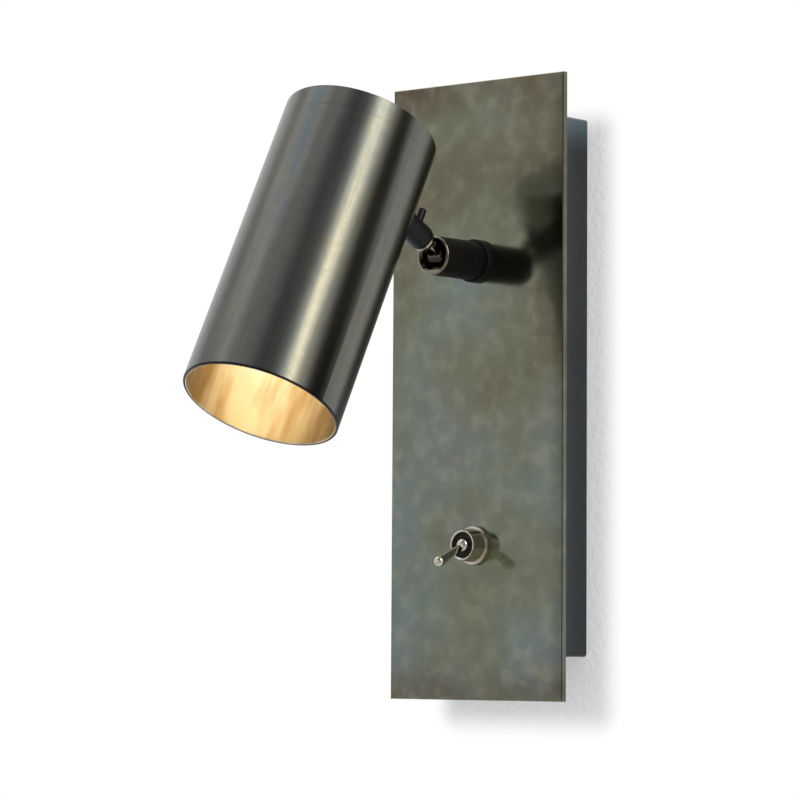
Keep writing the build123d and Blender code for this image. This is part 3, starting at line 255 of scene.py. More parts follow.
def patinated_steel(name, settings, folded):
    """Mild steel sheet, chemically patinated, brushed and waxed: soft clouds, satin, with faint swirls."""
    material, tree, place = new_material(name)
    axes = put(tree, "SeparateXYZ", (place,))
    elsewhere = put(tree, "VectorMath", (place, ELSEWHERE), operation="ADD")
    blotch, cloud = settings.blotch, settings.cloud
    large = put(tree, "TexNoise", {"Vector": place, "Scale": 1.0 / blotch, "Detail": 3.0, "Distortion": 0.3})
    other = put(
        tree, "TexNoise",
        {"Vector": elsewhere, "Scale": 1.0 / (1.3 * blotch), "Detail": 3.0, "Distortion": 0.3},
    )
    small = put(tree, "TexNoise", {"Vector": place, "Scale": 1.0 / cloud, "Detail": 3.0, "Distortion": 0.15})
    # The brush's grit marks are finer; these are drawn as coarse as they need to be to show.
    grit = put(tree, "TexNoise", {"Vector": place, "Scale": 1.0 / (1.1 * MM), "Detail": 2.0})
    # The patina is bluer towards the foot and browner towards the top.
    rise = put(tree, "MapRange", (axes.outputs["Z"], -CLOUD_RISE, CLOUD_RISE, -0.08, 0.08), **EASED)
    lower = put(tree, "Math", (other, rise), operation="SUBTRACT")
    upper = put(tree, "Math", (large, rise), operation="ADD")
    blueness = put(tree, "MapRange", (lower, 0.38, 0.70, 0.0, 0.85), **EASED)
    brownness = put(tree, "MapRange", (upper, 0.42, 0.76, 0.0, 0.85), **EASED)
    colour = put(tree, "Mix", (blueness, opaque(settings.olive), opaque(settings.blue)), **COLOURS)
    colour = put(tree, "Mix", (brownness, colour, opaque(settings.brown)), **COLOURS)
    # The sheet was heated from its ends, which went browner.
    from_middle = put(tree, "Math", (axes.outputs["Z"],), operation="ABSOLUTE")
    heated = put(tree, "MapRange", (from_middle, *HEATED), **EASED)
    uneven = put(tree, "MapRange", (large, 0.3, 0.7, 0.2, 0.9), **EASED)
    scorched = put(tree, "Math", (heated, uneven), operation="MULTIPLY")
    colour = put(tree, "Mix", (scorched, colour, opaque(settings.scorch)), **COLOURS)
    thin = put(tree, "MapRange", (small, 0.46, 0.76, 0.0, 0.4), **EASED)
    colour = put(tree, "Mix", (thin, colour, opaque(settings.pale)), **COLOURS)
    colour = toned(tree, colour, (
        (small, 0.28, 0.72, 0.92, 1.07),
        (other, 0.30, 0.70, 0.90, 1.12),
        (grit, 0.20, 0.80, 0.96, 1.04),
        # Painted shade: darker along the right-hand edge, in place of the dark reflections of the shade and
        # arm there.
        (axes.outputs["X"], *SHADED_RIGHT_EDGE, 1.0, 0.70),
    ))
    if folded:
        # Painted shade: the box's side is darker than the plate, for the shadowed wall that it mirrors;
        # painted light makes it bluer and paler close to its top.
        lit_near_top = put(tree, "MapRange", (axes.outputs["Z"], *LIT_FOLD_TOP), **EASED)
        fold = put(tree, "Mix", (lit_near_top, opaque(settings.side), opaque(settings.lit_side_top)), **COLOURS)
        colour = put(tree, "Mix", (0.88, colour, fold), **COLOURS)
    roughness = put(
        tree, "MapRange", (small, 0.2, 0.8, settings.roughness + 0.03, settings.roughness - 0.03), **EASED
    )
    # Rubbing leaves faint waves in the sheet.
    swirl = put(
        tree, "TexNoise", {"Vector": place, "Scale": 1.0 / (1.6 * cloud), "Detail": 1.0, "Distortion": 0.6}
    )
    relief = put(tree, "Math", (grit, 0.05, swirl), operation="MULTIPLY_ADD")
    bump = put(tree, "Bump", {"Height": relief, "Distance": 0.08 * MM})
    shader = put(
        tree, "BsdfPrincipled",
        {"Base Color": colour, "Metallic": 1.0, "Roughness": roughness, "Normal": bump},
    )
    put(tree, "OutputMaterial", {"Surface": shader})
    return material


# A faint turned line runs round the shade this far below its closed end.
LINE_DROP = 9.5 * MM
# Where the outside's colour changes, along and across the shade: painted shade darkens the cut rim of the
# mouth, and the blackening ends at the bore and at the back of the closed end.
MOUTH_RIM_SHADE = (0.5 * MM - SHADE_LENGTH, 0.9 * MM - SHADE_LENGTH)
BORE_EDGE = (SHADE_BORE + 0.25 * MM, SHADE_BORE + 0.35 * MM)
CAP_EDGE = (-1.4 * MM, -1.2 * MM)


def blackened_brass(name, settings, turned):
    """Brass, blackened outside and left raw inside: streaks along a drawn tube, or rings on a turned cap."""
    material, tree, place = new_material(name)
    # The same place seen from the shade: its own Z runs back along its axis from the closed end.
    turn = Matrix.Rotation(SHADE_TILT, 3, "X")
    head = put(
        tree, "Mapping",
        {"Vector": place, "Location": -(turn @ SHADE_TOP), "Rotation": (SHADE_TILT, 0.0, 0.0)},
    )
    axes = put(tree, "SeparateXYZ", (head,))
    across = put(tree, "CombineXYZ", (axes.outputs["X"], axes.outputs["Y"]))
    radius = put(tree, "VectorMath", (across,), operation="LENGTH")
    if turned:
        drawn = put(tree, "CombineXYZ", (radius,))
    else:
        # Streaks are drawn out along the tube to twenty times their width.
        drawn = put(tree, "Mapping", {"Vector": head, "Scale": (1.0, 1.0, 1.0 / 20.0)})
    streak = settings.streak
    streaks = put(tree, "TexNoise", {"Vector": drawn, "Scale": 1.0 / streak, "Detail": 4.0, "Roughness": 0.6})
    wide = put(tree, "TexNoise", {"Vector": drawn, "Scale": 1.0 / (3.5 * streak), "Detail": 2.0})
    spots = put(
        tree, "TexNoise",
        {"Vector": head, "Scale": 1.0 / (14.0 * MM), "Detail": 4.0, "Roughness": 0.65, "Distortion": 0.7},
    )
    mottle = put(
        tree, "TexNoise",
        {"Vector": head, "Scale": 1.0 / (4.5 * MM), "Detail": 4.0, "Roughness": 0.55, "Distortion": 0.3},
    )
    # The etched grain is finer; it is drawn as coarse as it needs to be to show.
    grain = put(tree, "TexNoise", {"Vector": head, "Scale": 1.0 / (0.9 * MM), "Detail": 2.0})
    bluish = put(tree, "MapRange", (wide, 0.42, 0.62), **EASED)
    outside = put(tree, "Mix", (bluish, opaque(settings.black), opaque(settings.blue)), **COLOURS)
    thin = put(tree, "MapRange", (spots, 0.50, 0.78, 0.0, 0.7), **EASED)
    outside = put(tree, "Mix", (thin, outside, opaque(settings.brown)), **COLOURS)
    past_line = put(tree, "Math", (axes.outputs["Z"], LINE_DROP), operation="ADD")
    from_line = put(tree, "Math", (past_line,), operation="ABSOLUTE")
    outside = toned(tree, outside, (
        (streaks, 0.25, 0.75, 0.87, 1.11),
        (grain, 0.20, 0.80, 0.95, 1.05),
        (mottle, 0.30, 0.70, 0.96, 1.04),
        (from_line, 0.2 * MM, 0.5 * MM, 0.86, 1.0),
    ))
    # Painted shade: the cut rim of the mouth goes near black.
    shaded_mouth = put(tree, "MapRange", (axes.outputs["Z"], *MOUTH_RIM_SHADE, 1.0, 0.0), **EASED)
    outside = put(tree, "Mix", (shaded_mouth, outside, opaque(settings.rim)), **COLOURS)
    # Inside, the tarnish is soft and drawn out along the tube to four times its width.
    wiped = put(tree, "Mapping", {"Vector": head, "Scale": (1.0, 1.0, 1.0 / 4.0)})
    patches = put(
        tree, "TexNoise", {"Vector": wiped, "Scale": 1.0 / (11.0 * MM), "Detail": 3.0, "Distortion": 0.15}
    )
    tarnished = put(tree, "MapRange", (patches, 0.36, 0.68), **EASED)
    inside = put(tree, "Mix", (tarnished, opaque(settings.brass), opaque(settings.tarnish)), **COLOURS)
    # The blackening wraps over the rims; only the bore and the back of the closed end stay raw.
    in_bore = put(tree, "MapRange", (radius, *BORE_EDGE, 1.0, 0.0), **EASED)
    below_cap = put(tree, "MapRange", (axes.outputs["Z"], *CAP_EDGE, 1.0, 0.0), **EASED)
    raw = put(tree, "Math", (in_bore, below_cap), operation="MULTIPLY")
    colour = put(tree, "Mix", (raw, outside, inside), **COLOURS)
    dull_outside = put(
        tree, "MapRange", (wide, 0.3, 0.7, settings.roughness - 0.03, settings.roughness + 0.04), **EASED
    )
    dull_inside = put(tree, "MapRange", (patches, 0.3, 0.7, 0.30, 0.42), **EASED)
    roughness = put(tree, "Mix", (raw, dull_outside, dull_inside))
    shallow = put(tree, "Math", (grain, 0.08), operation="MULTIPLY")
    relief = put(tree, "Math", (streaks, 0.14, shallow), operation="MULTIPLY_ADD")
    bump = put(tree, "Bump", {"Height": relief, "Distance": 0.05 * MM})
    shader = put(
        tree, "BsdfPrincipled",
        {"Base Color": colour, "Metallic": 1.0, "Roughness": roughness, "Normal": bump},
    )
    put(tree, "OutputMaterial", {"Surface": shader})
    return material


def satin_lacquer(name, colour):
    """Brass or steel with a satin black lacquer, sprayed: fine orange peel and a soft grey highlight."""
    material, tree, place = new_material(name)
    peel = put(tree, "TexNoise", {"Vector": place, "Scale": 1.0 / (0.7 * MM), "Detail": 2.0})
    worn = put(
        tree, "TexNoise", {"Vector": place, "Scale": 1.0 / (5.0 * MM), "Detail": 4.0, "Roughness": 0.6}
    )
    handled = put(tree, "MapRange", (worn, 0.45, 0.75), **EASED)
    paler = tuple(channel * 1.4 for channel in colour)
    shader = put(tree, "BsdfPrincipled", {
        "Base Color": put(tree, "Mix", (handled, opaque(colour), opaque(paler)), **COLOURS),
        "Roughness": put(tree, "MapRange", (worn, 0.2, 0.8, 0.38, 0.46), **EASED),
        "IOR": 1.5,
        "Specular IOR Level": 0.3,
        "Normal": put(tree, "Bump", {"Height": peel, "Distance": 0.008 * MM}),
    })
    put(tree, "OutputMaterial", {"Surface": shader})
    return material


def plated(name, colour, roughness, tint, cloud=6.0 * MM):
    """Electroplated metal: smooth, with a slight change of tint where the plating is thicker."""
    material, tree, place = new_material(name)
    thick = put(tree, "TexNoise", {"Vector": place, "Scale": 1.0 / cloud, "Detail": 3.0, "Distortion": 0.6})
    pits = put(tree, "TexNoise", {"Vector": place, "Scale": 1.0 / (0.5 * MM), "Detail": 2.0})
    thicker = put(tree, "MapRange", (thick, 0.35, 0.70), **EASED)
    tinted = tuple(channel * change for channel, change in zip(colour, tint))
    shader = put(tree, "BsdfPrincipled", {
        "Base Color": put(tree, "Mix", (thicker, opaque(colour), opaque(tinted)), **COLOURS),
        "Metallic": 1.0,
        "Roughness": put(tree, "MapRange", (thick, 0.2, 0.8, 0.85 * roughness, 1.2 * roughness), **EASED),
        "Normal": put(tree, "Bump", {"Height": pits, "Distance": 0.006 * MM}),
    })
    put(tree, "OutputMaterial", {"Surface": shader})
    return material


# Painted shade deep in the knuckle cup: towards the wall, its nickel is bright up to the first of these
# places along Y and painted dark from the second.
RECESS_SHADE_DEPTH = (-50.7 * MM, -49.4 * MM)


def shaded_nickel(name, colour, dark):
    """Nickel plate, bright at the knuckle's rim, with painted shade that turns it brown and dark deeper
    inside the cup.
    """
    material, tree, place = new_material(name)
    stain_and_shade_edge = put(
        tree, "TexNoise", {"Vector": place, "Scale": 1.0 / (2.5 * MM), "Detail": 3.0, "Distortion": 0.4}
    )
    axes = put(tree, "SeparateXYZ", (place,))
    # The painted shade starts a little unevenly along Y; the same noise varies the roughness.
    depth = put(tree, "Math", (stain_and_shade_edge, 0.4 * MM, axes.outputs["Y"]), operation="MULTIPLY_ADD")
    shaded_inward = put(tree, "MapRange", (depth, *RECESS_SHADE_DEPTH), **EASED)
    shader = put(tree, "BsdfPrincipled", {
        "Base Color": put(tree, "Mix", (shaded_inward, opaque(colour), opaque(dark)), **COLOURS),
        "Metallic": 1.0,
        "Roughness": put(tree, "MapRange", (stain_and_shade_edge, 0.3, 0.7, 0.10, 0.18), **EASED),
    })
    put(tree, "OutputMaterial", {"Surface": shader})
    return material


def moulded(name, colour, roughness, ior, depth=0.015 * MM):
    """Moulded plastic, rubber or ceramic: even colour, a fine surface texture and a little handling dirt."""
    material, tree, place = new_material(name)
    texture = put(tree, "TexNoise", {"Vector": place, "Scale": 1.0 / (0.8 * MM), "Detail": 3.0})
    dirt = put(
        tree, "TexNoise", {"Vector": place, "Scale": 1.0 / (7.0 * MM), "Detail": 4.0, "Roughness": 0.6}
    )
    handled = put(tree, "MapRange", (dirt, 0.45, 0.75), **EASED)
    darker = tuple(channel * 0.86 for channel in colour)
    shader = put(tree, "BsdfPrincipled", {
        "Base Color": put(tree, "Mix", (handled, opaque(colour), opaque(darker)), **COLOURS),
        "Roughness": put(tree, "MapRange", (dirt, 0.2, 0.8, roughness, roughness + 0.08), **EASED),
        "IOR": ior,
        "Normal": put(tree, "Bump", {"Height": texture, "Distance": depth}),
    })
    put(tree, "OutputMaterial", {"Surface": shader})
    return material


# The earth lead's stripe comes back after this length. A diagonal wave of scale 1 comes back every tau / 10.
STRIPE_TURN = 11.84 * MM


def striped_insulation(name, green, yellow):
    """Extruded PVC in green with a yellow stripe that winds slowly round the lead."""
    material, tree, place = new_material(name)
    stripes = put(
        tree, "TexWave", {"Vector": place, "Scale": tau / 10.0 / STRIPE_TURN, "Distortion": 0.4},
        bands_direction="DIAGONAL",
    )
    scuff = put(tree, "TexNoise", {"Vector": place, "Scale": 1.0 / (2.0 * MM), "Detail": 3.0})
    striped = put(tree, "MapRange", (stripes.outputs["Fac"], 0.42, 0.58), **EASED)
    shader = put(tree, "BsdfPrincipled", {
        "Base Color": put(tree, "Mix", (striped, opaque(green), opaque(yellow)), **COLOURS),
        "Roughness": put(tree, "MapRange", (scuff, 0.3, 0.7, 0.38, 0.5), **EASED),
        "IOR": 1.54,
    })
    put(tree, "OutputMaterial", {"Surface": shader})
    return material


def pressed_glass(name, colour, glow, strength):
    """Borosilicate lens, pressed: clear, with fine ripples from the mould, and lit softly from behind."""
    material, tree, place = new_material(name)
    ripple = put(tree, "TexNoise", {"Vector": place, "Scale": 1.0 / (1.5 * MM), "Detail": 2.0})
    dust = put(tree, "TexNoise", {"Vector": place, "Scale": 1.0 / (4.0 * MM), "Detail": 4.0})
    shader = put(tree, "BsdfPrincipled", {
        "Base Color": opaque(colour),
        "Roughness": put(tree, "MapRange", (dust, 0.3, 0.8, 0.05, 0.16), **EASED),
        "IOR": 1.47,
        "Transmission Weight": 0.85,
        "Normal": put(tree, "Bump", {"Height": ripple, "Distance": 0.01 * MM}),
        "Emission Color": opaque(glow),
        "Emission Strength": strength,
    })
    put(tree, "OutputMaterial", {"Surface": shader})
    return material


def dress(material, *names):
    """Gives these nodes of the frame one material."""
    for name in names:
        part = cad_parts[name]
        if not part.material_slots:
            part.data.materials.append(material)
        for slot in part.material_slots:
            slot.material = material


# ---------------------------------------------------------------- pieces


class LAMP_OT_plate(bpy.types.Operator):
    """Patinates the front plate and the folded box behind it"""

    bl_idname = "reading_lamp.plate"
    bl_label = "Plate and box"

    def execute(self, context):
        settings = context.scene.lamp_plate
        dress(patinated_steel("patinated_steel_sheet", settings, folded=False), "front_plate")
        dress(patinated_steel("patinated_steel_fold_painted_shade", settings, folded=True), "back_box")
        return {"FINISHED"}


class LAMP_OT_shade(bpy.types.Operator):
    """Blackens the shade outside and leaves its bore raw"""

    bl_idname = "reading_lamp.shade"
    bl_label = "Shade"

    def execute(self, context):
        settings = context.scene.lamp_shade
        dress(blackened_brass("blackened_drawn_brass", settings, turned=False), "shade_tube")
        dress(blackened_brass("blackened_turned_brass", settings, turned=True), "shade_cap")
        return {"FINISHED"}


class LAMP_OT_arm(bpy.types.Operator):
    """Finishes the arm, its knuckle, the neck, the lock screw and the switch's bright parts"""

    bl_idname = "reading_lamp.arm"
    bl_label = "Arm, neck and switch"

    def execute(self, context):
        colours = context.scene.lamp_fittings
        dress(
            satin_lacquer("satin_black_lacquer", colours.lacquer),
            "arm_collar", "arm_sleeve", "knuckle_sleeve", "neck_tube", "shade_boss", "lock_screw",
        )
        dress(
            shaded_nickel("nickel_plate_with_painted_shade", colours.dull_nickel, colours.recess_shade),
            "knuckle_cup", "tilt_spacers", "neck_eye",
        )
        dress(
            plated("turned_nickel_plate", colours.nickel, 0.20, (0.86, 0.82, 0.74), cloud=2.4 * MM),
            "dress_nut", "switch_bushing",
        )
        dress(plated("polished_nickel_plate", colours.nickel, 0.11, (0.95, 0.92, 0.87)), "toggle_lever")
        dress(moulded("acetal_washer", colours.seam, 0.42, 1.48), "seam_washer")
        return {"FINISHED"}


class LAMP_OT_steelwork(bpy.types.Operator):
    """Finishes the zinc plated bracket, nuts and pins, the blackened screws and the brass terminals"""

    bl_idname = "reading_lamp.steelwork"
    bl_label = "Steelwork"

    def execute(self, context):
        colours = context.scene.lamp_fittings
        dress(
            plated("zinc_plated_steel", colours.zinc, 0.34, (0.95, 0.93, 0.84), cloud=12.0 * MM),
            "wall_bracket", "terminal_screws", "block_screw", "arm_nipple", "nipple_washer", "nipple_nut",
            "stop_pin", "switch_washer", "swivel_nut", "spring_washer", "tilt_pin", "head_stem",
            "saddle_washer", "stem_nut", "holder_bracket", "holder_screws",
        )
        dress(plated("black_oxide_steel", colours.oxide, 0.38, (0.9, 0.95, 1.1)), "box_screws", "sleeve_grub")
        dress(
            plated("turned_brass", colours.brass, 0.28, (0.88, 0.80, 0.66)),
            "terminal_sleeves", "earth_tag", "earth_screw", "nipple_earth_tag", "switch_lugs", "lamp_pins",
        )
        return {"FINISHED"}


class LAMP_OT_electrics(bpy.types.Operator):
    """Finishes the terminal block, switch, lamp holder, lamp body, leads and cable"""

    bl_idname = "reading_lamp.electrics"
    bl_label = "Electrics"

    def execute(self, context):
        colours = context.scene.lamp_electric
        dress(moulded("polyamide_moulding", colours.block, 0.42, 1.53), "terminal_block")
        dress(moulded("phenolic_moulding", colours.phenolic, 0.34, 1.6), "switch_body")
        dress(
            moulded("nitrile_rubber", colours.rubber, 0.66, 1.52, depth=0.04 * MM),
            "cable_bush", "switch_seal",
        )
        dress(moulded("unglazed_ceramic", colours.ceramic, 0.58, 1.55, depth=0.05 * MM), "lamp_holder")
        dress(moulded("lamp_housing_moulding", colours.housing, 0.4, 1.58), "lamp_body")
        dress(moulded("brown_pvc_insulation", colours.brown, 0.4, 1.54), "lead_live", "lead_switched")
        dress(moulded("blue_pvc_insulation", colours.blue, 0.4, 1.54), "lead_neutral")
        dress(striped_insulation("green_yellow_pvc_insulation", colours.green, colours.yellow), "lead_earth")
        dress(
            moulded("pvc_cable_sheath", colours.sheath, 0.45, 1.54),
            "arm_cable", "journal_cable", "head_cable", "head_leads",
        )
        return {"FINISHED"}


# The lens's face is a net of rings and steps round them; its edge slopes back from this far inside the rim.
LENS_RINGS, LENS_STEPS = 30, 120
LENS_EDGE = 0.5 * MM
# The dimples stand in staggered rows, this share of their spacing apart.
ROW_SHARE = 0.866


class LAMP_OT_lens(bpy.types.Operator):
    """Builds the lamp's pressed lens with its dimples, in place of the plain disc"""

    bl_idname = "reading_lamp.lens"
    bl_label = "Lens"

    def execute(self, context):
        settings = context.scene.lamp_electric
        # The disc's own place: its two faces and its rim, measured along the shade's axis.
        turn = Matrix.Rotation(SHADE_TILT, 3, "X")
        points = [turn @ (vertex.co - SHADE_TOP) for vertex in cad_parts["lamp_lens"].data.vertices]
        front = min(point.z for point in points)
        back = max(point.z for point in points)
        rim = max(hypot(point.x, point.y) for point in points)
        mesh = bmesh.new()
        # The rings of the dimpled face from its middle outwards, and last the one of the flat back.
        rings = []
        for count in range(1, LENS_RINGS + 1):
            radius = rim * count / LENS_RINGS
            into_edge = radius - rim + LENS_EDGE
            ring = []
            for x, y in circle(radius):
                height = 0.5 * into_edge if into_edge > 0.0 else dimple_height(x, y, settings)
                ring.append(mesh.verts.new((x, y, front + height)))
            rings.append(ring)
        rings.append([mesh.verts.new((x, y, back)) for x, y in circle(rim)])
        front_middle = mesh.verts.new((0.0, 0.0, front + dimple_height(0.0, 0.0, settings)))
        back_middle = mesh.verts.new((0.0, 0.0, back))
        for step in range(LENS_STEPS):
            after = (step + 1) % LENS_STEPS
            mesh.faces.new((front_middle, rings[0][after], rings[0][step]))
            mesh.faces.new((back_middle, rings[-1][step], rings[-1][after]))
            for inner, outer in zip(rings, rings[1:]):
                mesh.faces.new((inner[step], inner[after], outer[after], outer[step]))
        bmesh.ops.transform(
            mesh, matrix=Matrix.Translation(SHADE_TOP) @ turn.inverted().to_4x4(), verts=mesh.verts
        )
        bmesh.ops.recalc_face_normals(mesh, faces=mesh.faces)
        lens = add_piece("pressed_lens", mesh, smooth=True)
        glass = pressed_glass("pressed_borosilicate", settings.glass, settings.glow, settings.glow_strength)
        lens.data.materials.append(glass)
        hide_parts("lamp_lens")
        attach(lens, "head")
        return {"FINISHED"}


def circle(radius):
    """The points of one ring of the lens, round the shade's axis."""
    angles = [tau * step / LENS_STEPS for step in range(LENS_STEPS)]
    return [(radius * cos(angle), radius * sin(angle)) for angle in angles]


def dimple_height(x, y, settings):
    """How far a pressed dimple goes in at this point of the lens."""
    spacing = settings.dimple
    row = round(y / (ROW_SHARE * spacing))
    shift = 0.5 * spacing if row % 2 else 0.0
    column = round((x - shift) / spacing)
    away = hypot(x - shift - column * spacing, y - row * ROW_SHARE * spacing)
    share = min(1.0, away / (0.5 * spacing))
    return settings.dimple_depth * (1.0 - share * share)


def add_piece(name, mesh, smooth=False):
    """Turns a finished bmesh into an object of the scene."""
    data = bpy.data.meshes.new(name)
    mesh.to_mesh(data)
    mesh.free()
    for face in data.polygons:
        face.use_smooth = smooth
    piece = bpy.data.objects.new(name, data)
    bpy.context.scene.collection.objects.link(piece)
    return piece


# ---------------------------------------------------------------- stage

# The wall's pale patch round the lamp: its middle, half its width and height, where it starts and stops going
# over to plain white outside that, and the least share of plain white in it.
PATCH_MIDDLE = (15.0 * MM, 0.0, -15.5 * MM)
PATCH_HALF = (PLATE_RIGHT - 10.5 * MM, 0.0, PLATE_TOP - 12.5 * MM)
PATCH_FADE = (0.0, 16.0 * MM)
PATCH_LEAST = 0.41
# The wall is open behind the box, and starts just behind the plane that the lamp is fixed to.
WALL_HALF = 3.0
WALL_GAP = 0.3 * MM
OPENING_HALF = (48.5 * MM, 121.5 * MM)
SQUARE = ((-1, -1), (1, -1), (1, 1), (-1, 1))
# The floor starts at the wall.
FLOOR_DROP = 0.9
FLOOR_HALF = (3.0, 2.0)
# A black flag that the camera doesn't see stands close to the wall on the right: the shade's right side
# mirrors it as a dark band.
FLAG_NEAR, FLAG_FAR = 0.175, 0.56
FLAG_LOW, FLAG_HIGH = -0.10, 0.35
FLAG_GAP = 4.0 * MM
# The soft light of the room by its direction, going round from straight out of the wall towards the right: it
# fades from the left, and comes back at the right-hand side and behind. Each row holds the two directions
# that it changes between and its levels there; where rows meet, the brighter one counts.
ROOM_LEVELS = (
    (radians(6), radians(38), 1.0, 0.34),
    (radians(46), radians(70), 0.0, 0.58),
    (radians(95), radians(125), 0.0, 0.75),
)
# The room's dim side is a little bluer.
DIM_TINT = (0.84, 0.91, 1.14, 1.0)


def one_sided(tree, shader):
    """Lets a surface be seen from its front only, so that no view from behind or below is blocked."""
    back = put(tree, "NewGeometry").outputs["Backfacing"]
    return put(tree, "MixShader", (back, shader, put(tree, "BsdfTransparent")))


def painted_plaster(name, colour):
    """Trowelled plaster with matt white paint: small soft bumps, and plain white away from the lamp."""
    material, tree, place = new_material(name)
    # How far a place lies outside the patch round the lamp.
    away = put(tree, "VectorMath", (place, PATCH_MIDDLE), operation="SUBTRACT")
    away = put(tree, "VectorMath", (away,), operation="ABSOLUTE")
    away = put(tree, "VectorMath", (away, PATCH_HALF), operation="SUBTRACT")
    away = put(tree, "VectorMath", (away, (0.0, 0.0, 0.0)), operation="MAXIMUM")
    away = put(tree, "VectorMath", (away,), operation="LENGTH")
    whitened = put(tree, "MapRange", (away, *PATCH_FADE, PATCH_LEAST, 1.0), **EASED)
    # Only the camera, mirror-like surfaces and glass see the plain white.
    path = put(tree, "LightPath")
    seen = put(
        tree, "Math", (path.outputs["Is Camera Ray"], path.outputs["Is Glossy Ray"]), operation="MAXIMUM"
    )
    seen = put(tree, "Math", (seen, path.outputs["Is Transmission Ray"]), operation="MAXIMUM")
    plain = put(tree, "Math", (whitened, seen), operation="MULTIPLY")
    bumps = put(
        tree, "TexNoise",
        {"Vector": place, "Scale": 1.0 / (4.0 * MM), "Detail": 3.0, "Roughness": 0.55, "Distortion": 0.4},
    )
    bump = put(tree, "Bump", {"Height": bumps, "Distance": 1.5 * MM})
    paint = put(tree, "BsdfPrincipled", {"Base Color": opaque(colour), "Roughness": 0.9, "Normal": bump})
    white = put(tree, "Emission", {"Color": WHITE, "Strength": 1.0})
    shown = put(tree, "MixShader", (plain, paint, white))
    put(tree, "OutputMaterial", {"Surface": one_sided(tree, shown)})
    return material


def pale_floor(name, colour):
    """Matt pale floor paint, rolled, with a faint change of sheen."""
    material, tree, place = new_material(name)
    drift = put(tree, "TexNoise", {"Vector": place, "Scale": 1.0 / 0.4, "Detail": 3.0})
    sheen = put(tree, "MapRange", (drift, 0.3, 0.7, 0.75, 0.9), **EASED)
    paint = put(tree, "BsdfPrincipled", {"Base Color": opaque(colour), "Roughness": sheen})
    put(tree, "OutputMaterial", {"Surface": one_sided(tree, paint)})
    return material


def black_felt(name, colour):
    """Black wool felt on the flag, pressed: matt, with a fluffy, uneven black."""
    material, tree, place = new_material(name)
    fluff = put(tree, "TexNoise", {"Vector": place, "Scale": 1.0 / (3.0 * MM), "Detail": 3.0})
    darker = tuple(0.6 * channel for channel in colour)
    cloth = put(tree, "Mix", (fluff, opaque(colour), opaque(darker)), **COLOURS)
    shader = put(tree, "BsdfDiffuse", {"Color": cloth, "Roughness": 0.6})
    put(tree, "OutputMaterial", {"Surface": shader})
    return material


def add_light(name, level, size, place, look_at, colour=(1.0, 1.0, 1.0)):
    """A soft box whose surface has this brightness; the camera doesn't see it."""
    data = bpy.data.lights.new(name, "AREA")
    data.shape = "RECTANGLE"
    data.size, data.size_y = size
    data.energy = level * pi * size[0] * size[1]
    data.color = colour
    light = bpy.data.objects.new(name, data)
    light.location = place
    light.rotation_mode = "QUATERNION"
    light.rotation_quaternion = (Vector(look_at) - Vector(place)).to_track_quat("-Z", "Y")
    light.visible_camera = False
    bpy.context.scene.collection.objects.link(light)


def round_the_lamp(side_angle, height, distance):
    """A place in the room: the angle goes from straight out of the wall towards the right."""
    return (distance * sin(side_angle), -distance * cos(side_angle), height)


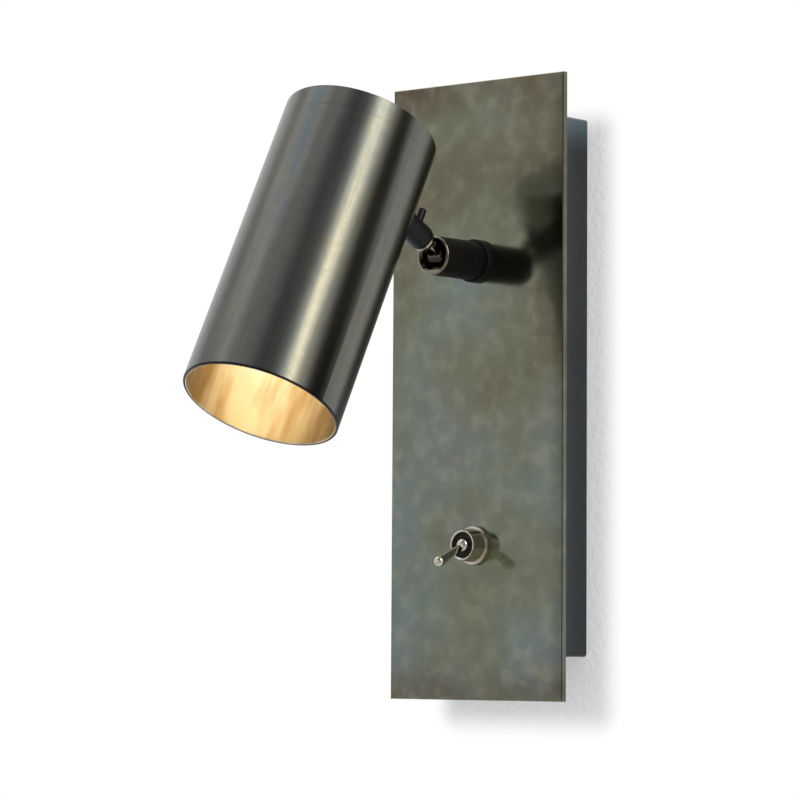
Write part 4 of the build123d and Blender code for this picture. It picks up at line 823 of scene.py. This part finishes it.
class LAMP_OT_stage(bpy.types.Operator):
    """Sets the wall, the floor, the soft lights and the camera"""

    bl_idname = "reading_lamp.stage"
    bl_label = "Studio"

    def execute(self, context):
        settings = context.scene.lamp_stage
        self.add_wall(settings)
        self.add_floor(settings)
        self.add_flag(settings)
        self.add_room(context, settings)
        add_light(
            "strip_light", settings.strip_light, size=(0.32, 1.1), place=(1.2, -0.262, 0.77),
            look_at=(0.0, -0.13, 0.05), colour=linear("#FFF6E2"),
        )
        add_light(
            "key_light", settings.key_light, size=(1.2, 1.2),
            place=round_the_lamp(radians(-50), height=1.7, distance=1.2), look_at=(0.0, -0.02, 0.0),
        )
        # Views from behind, where the wall isn't seen, get their light from here.
        add_light("wall_light", 1.2, size=(1.6, 1.6), place=(0.0, 1.6, 0.2), look_at=(0.0, 0.0, 0.0))
        self.add_camera(context, settings)
        return {"FINISHED"}

    def add_wall(self, settings):
        mesh = bmesh.new()
        outer = [mesh.verts.new((x * WALL_HALF, WALL_GAP, z * WALL_HALF)) for x, z in SQUARE]
        inner = [mesh.verts.new((x * OPENING_HALF[0], WALL_GAP, z * OPENING_HALF[1])) for x, z in SQUARE]
        for side in range(4):
            after = (side + 1) % 4
            mesh.faces.new((outer[side], outer[after], inner[after], inner[side]))
        wall = add_piece("wall", mesh)
        wall.data.materials.append(painted_plaster("painted_plaster", settings.wall))

    def add_floor(self, settings):
        mesh = bmesh.new()
        corners = [(x * FLOOR_HALF[0], (y - 1) * FLOOR_HALF[1], -FLOOR_DROP) for x, y in SQUARE]
        mesh.faces.new([mesh.verts.new(corner) for corner in corners])
        floor = add_piece("floor", mesh)
        floor.data.materials.append(pale_floor("pale_floor", settings.floor))

    def add_flag(self, settings):
        mesh = bmesh.new()
        corners = (
            (FLAG_NEAR, -FLAG_GAP, FLAG_LOW), (FLAG_FAR, -FLAG_GAP, FLAG_LOW),
            (FLAG_FAR, -FLAG_GAP, FLAG_HIGH), (FLAG_NEAR, -FLAG_GAP, FLAG_HIGH),
        )
        mesh.faces.new([mesh.verts.new(corner) for corner in corners])
        flag = add_piece("black_flag", mesh)
        flag.data.materials.append(black_felt("black_felt", settings.felt))
        flag.visible_camera = False

    def add_room(self, context, settings):
        world = bpy.data.worlds.new("studio_room")
        context.scene.world = world
        world.use_nodes = True
        tree = world.node_tree
        tree.nodes.clear()
        toward = put(tree, "SeparateXYZ", (put(tree, "TexCoord").outputs["Generated"],))
        ahead = put(tree, "Math", (toward.outputs["Y"], -1.0), operation="MULTIPLY")
        angle = put(tree, "Math", (toward.outputs["X"], ahead), operation="ARCTAN2")
        level = 0.0
        for row in ROOM_LEVELS:
            from_here = put(tree, "MapRange", (angle, *row), **EASED)
            level = put(tree, "Math", (level, from_here), operation="MAXIMUM")
        level = put(tree, "Math", (level, settings.soft_light), operation="MULTIPLY")
        tint = put(tree, "Mix", (level, DIM_TINT, WHITE), **COLOURS)
        # The camera itself sees plain white wherever the wall and the floor end.
        camera = put(tree, "LightPath").outputs["Is Camera Ray"]
        tint = put(tree, "Mix", (camera, tint, WHITE), **COLOURS)
        level = put(tree, "Mix", (camera, level, 1.0))
        room = put(tree, "Background", {"Color": tint, "Strength": level})
        put(tree, "OutputWorld", {"Surface": room})

    def add_camera(self, context, settings):
        side, pitch = settings.side_angle, settings.pitch
        forward = Vector((-sin(side) * cos(pitch), cos(side) * cos(pitch), sin(pitch)))
        level_right = Vector((cos(side), sin(side), 0.0))
        level_up = level_right.cross(forward)
        right = level_right * cos(settings.roll) + level_up * sin(settings.roll)
        up = level_up * cos(settings.roll) - level_right * sin(settings.roll)
        data = bpy.data.cameras.new("camera")
        data.sensor_width = 36.0
        data.lens = settings.lens
        data.shift_y = settings.frame_shift
        data.clip_start, data.clip_end = 0.05, 50.0
        camera = bpy.data.objects.new("camera", data)
        turned = Matrix((right, up, -forward)).transposed().to_4x4()
        place = right * settings.right + up * settings.up - forward * settings.distance
        camera.matrix_world = Matrix.Translation(place) @ turned
        context.scene.collection.objects.link(camera)
        context.scene.camera = camera
        context.scene.view_settings.view_transform = "Standard"


class LAMP_PT_panel(bpy.types.Panel):
    """Lists the lamp's groups of pieces and their settings"""

    bl_idname = "LAMP_PT_panel"
    bl_label = "Reading Lamp"
    bl_space_type = "VIEW_3D"
    bl_region_type = "UI"
    bl_category = "Reading Lamp"

    def draw(self, context):
        for operator in OPERATORS:
            self.layout.operator(operator.bl_idname)
        for name, group in SETTINGS.items():
            box = self.layout.box()
            box.label(text=name.replace("_", " ").capitalize())
            for field in group.__annotations__:
                box.prop(getattr(context.scene, name), field)


OPERATORS = (
    LAMP_OT_stage, LAMP_OT_plate, LAMP_OT_shade, LAMP_OT_arm,
    LAMP_OT_steelwork, LAMP_OT_electrics, LAMP_OT_lens,
)


def register():
    for group in (*SETTINGS.values(), *OPERATORS, LAMP_PT_panel):
        bpy.utils.register_class(group)
    for name, group in SETTINGS.items():
        setattr(bpy.types.Scene, name, PointerProperty(type=group))


def unregister():
    for name in SETTINGS:
        delattr(bpy.types.Scene, name)
    for group in reversed((*SETTINGS.values(), *OPERATORS, LAMP_PT_panel)):
        bpy.utils.unregister_class(group)


def main():
    register()
    for operator in OPERATORS:
        getattr(bpy.ops.reading_lamp, operator.bl_idname.split(".")[1])()


if __name__ == "__main__":
    main()
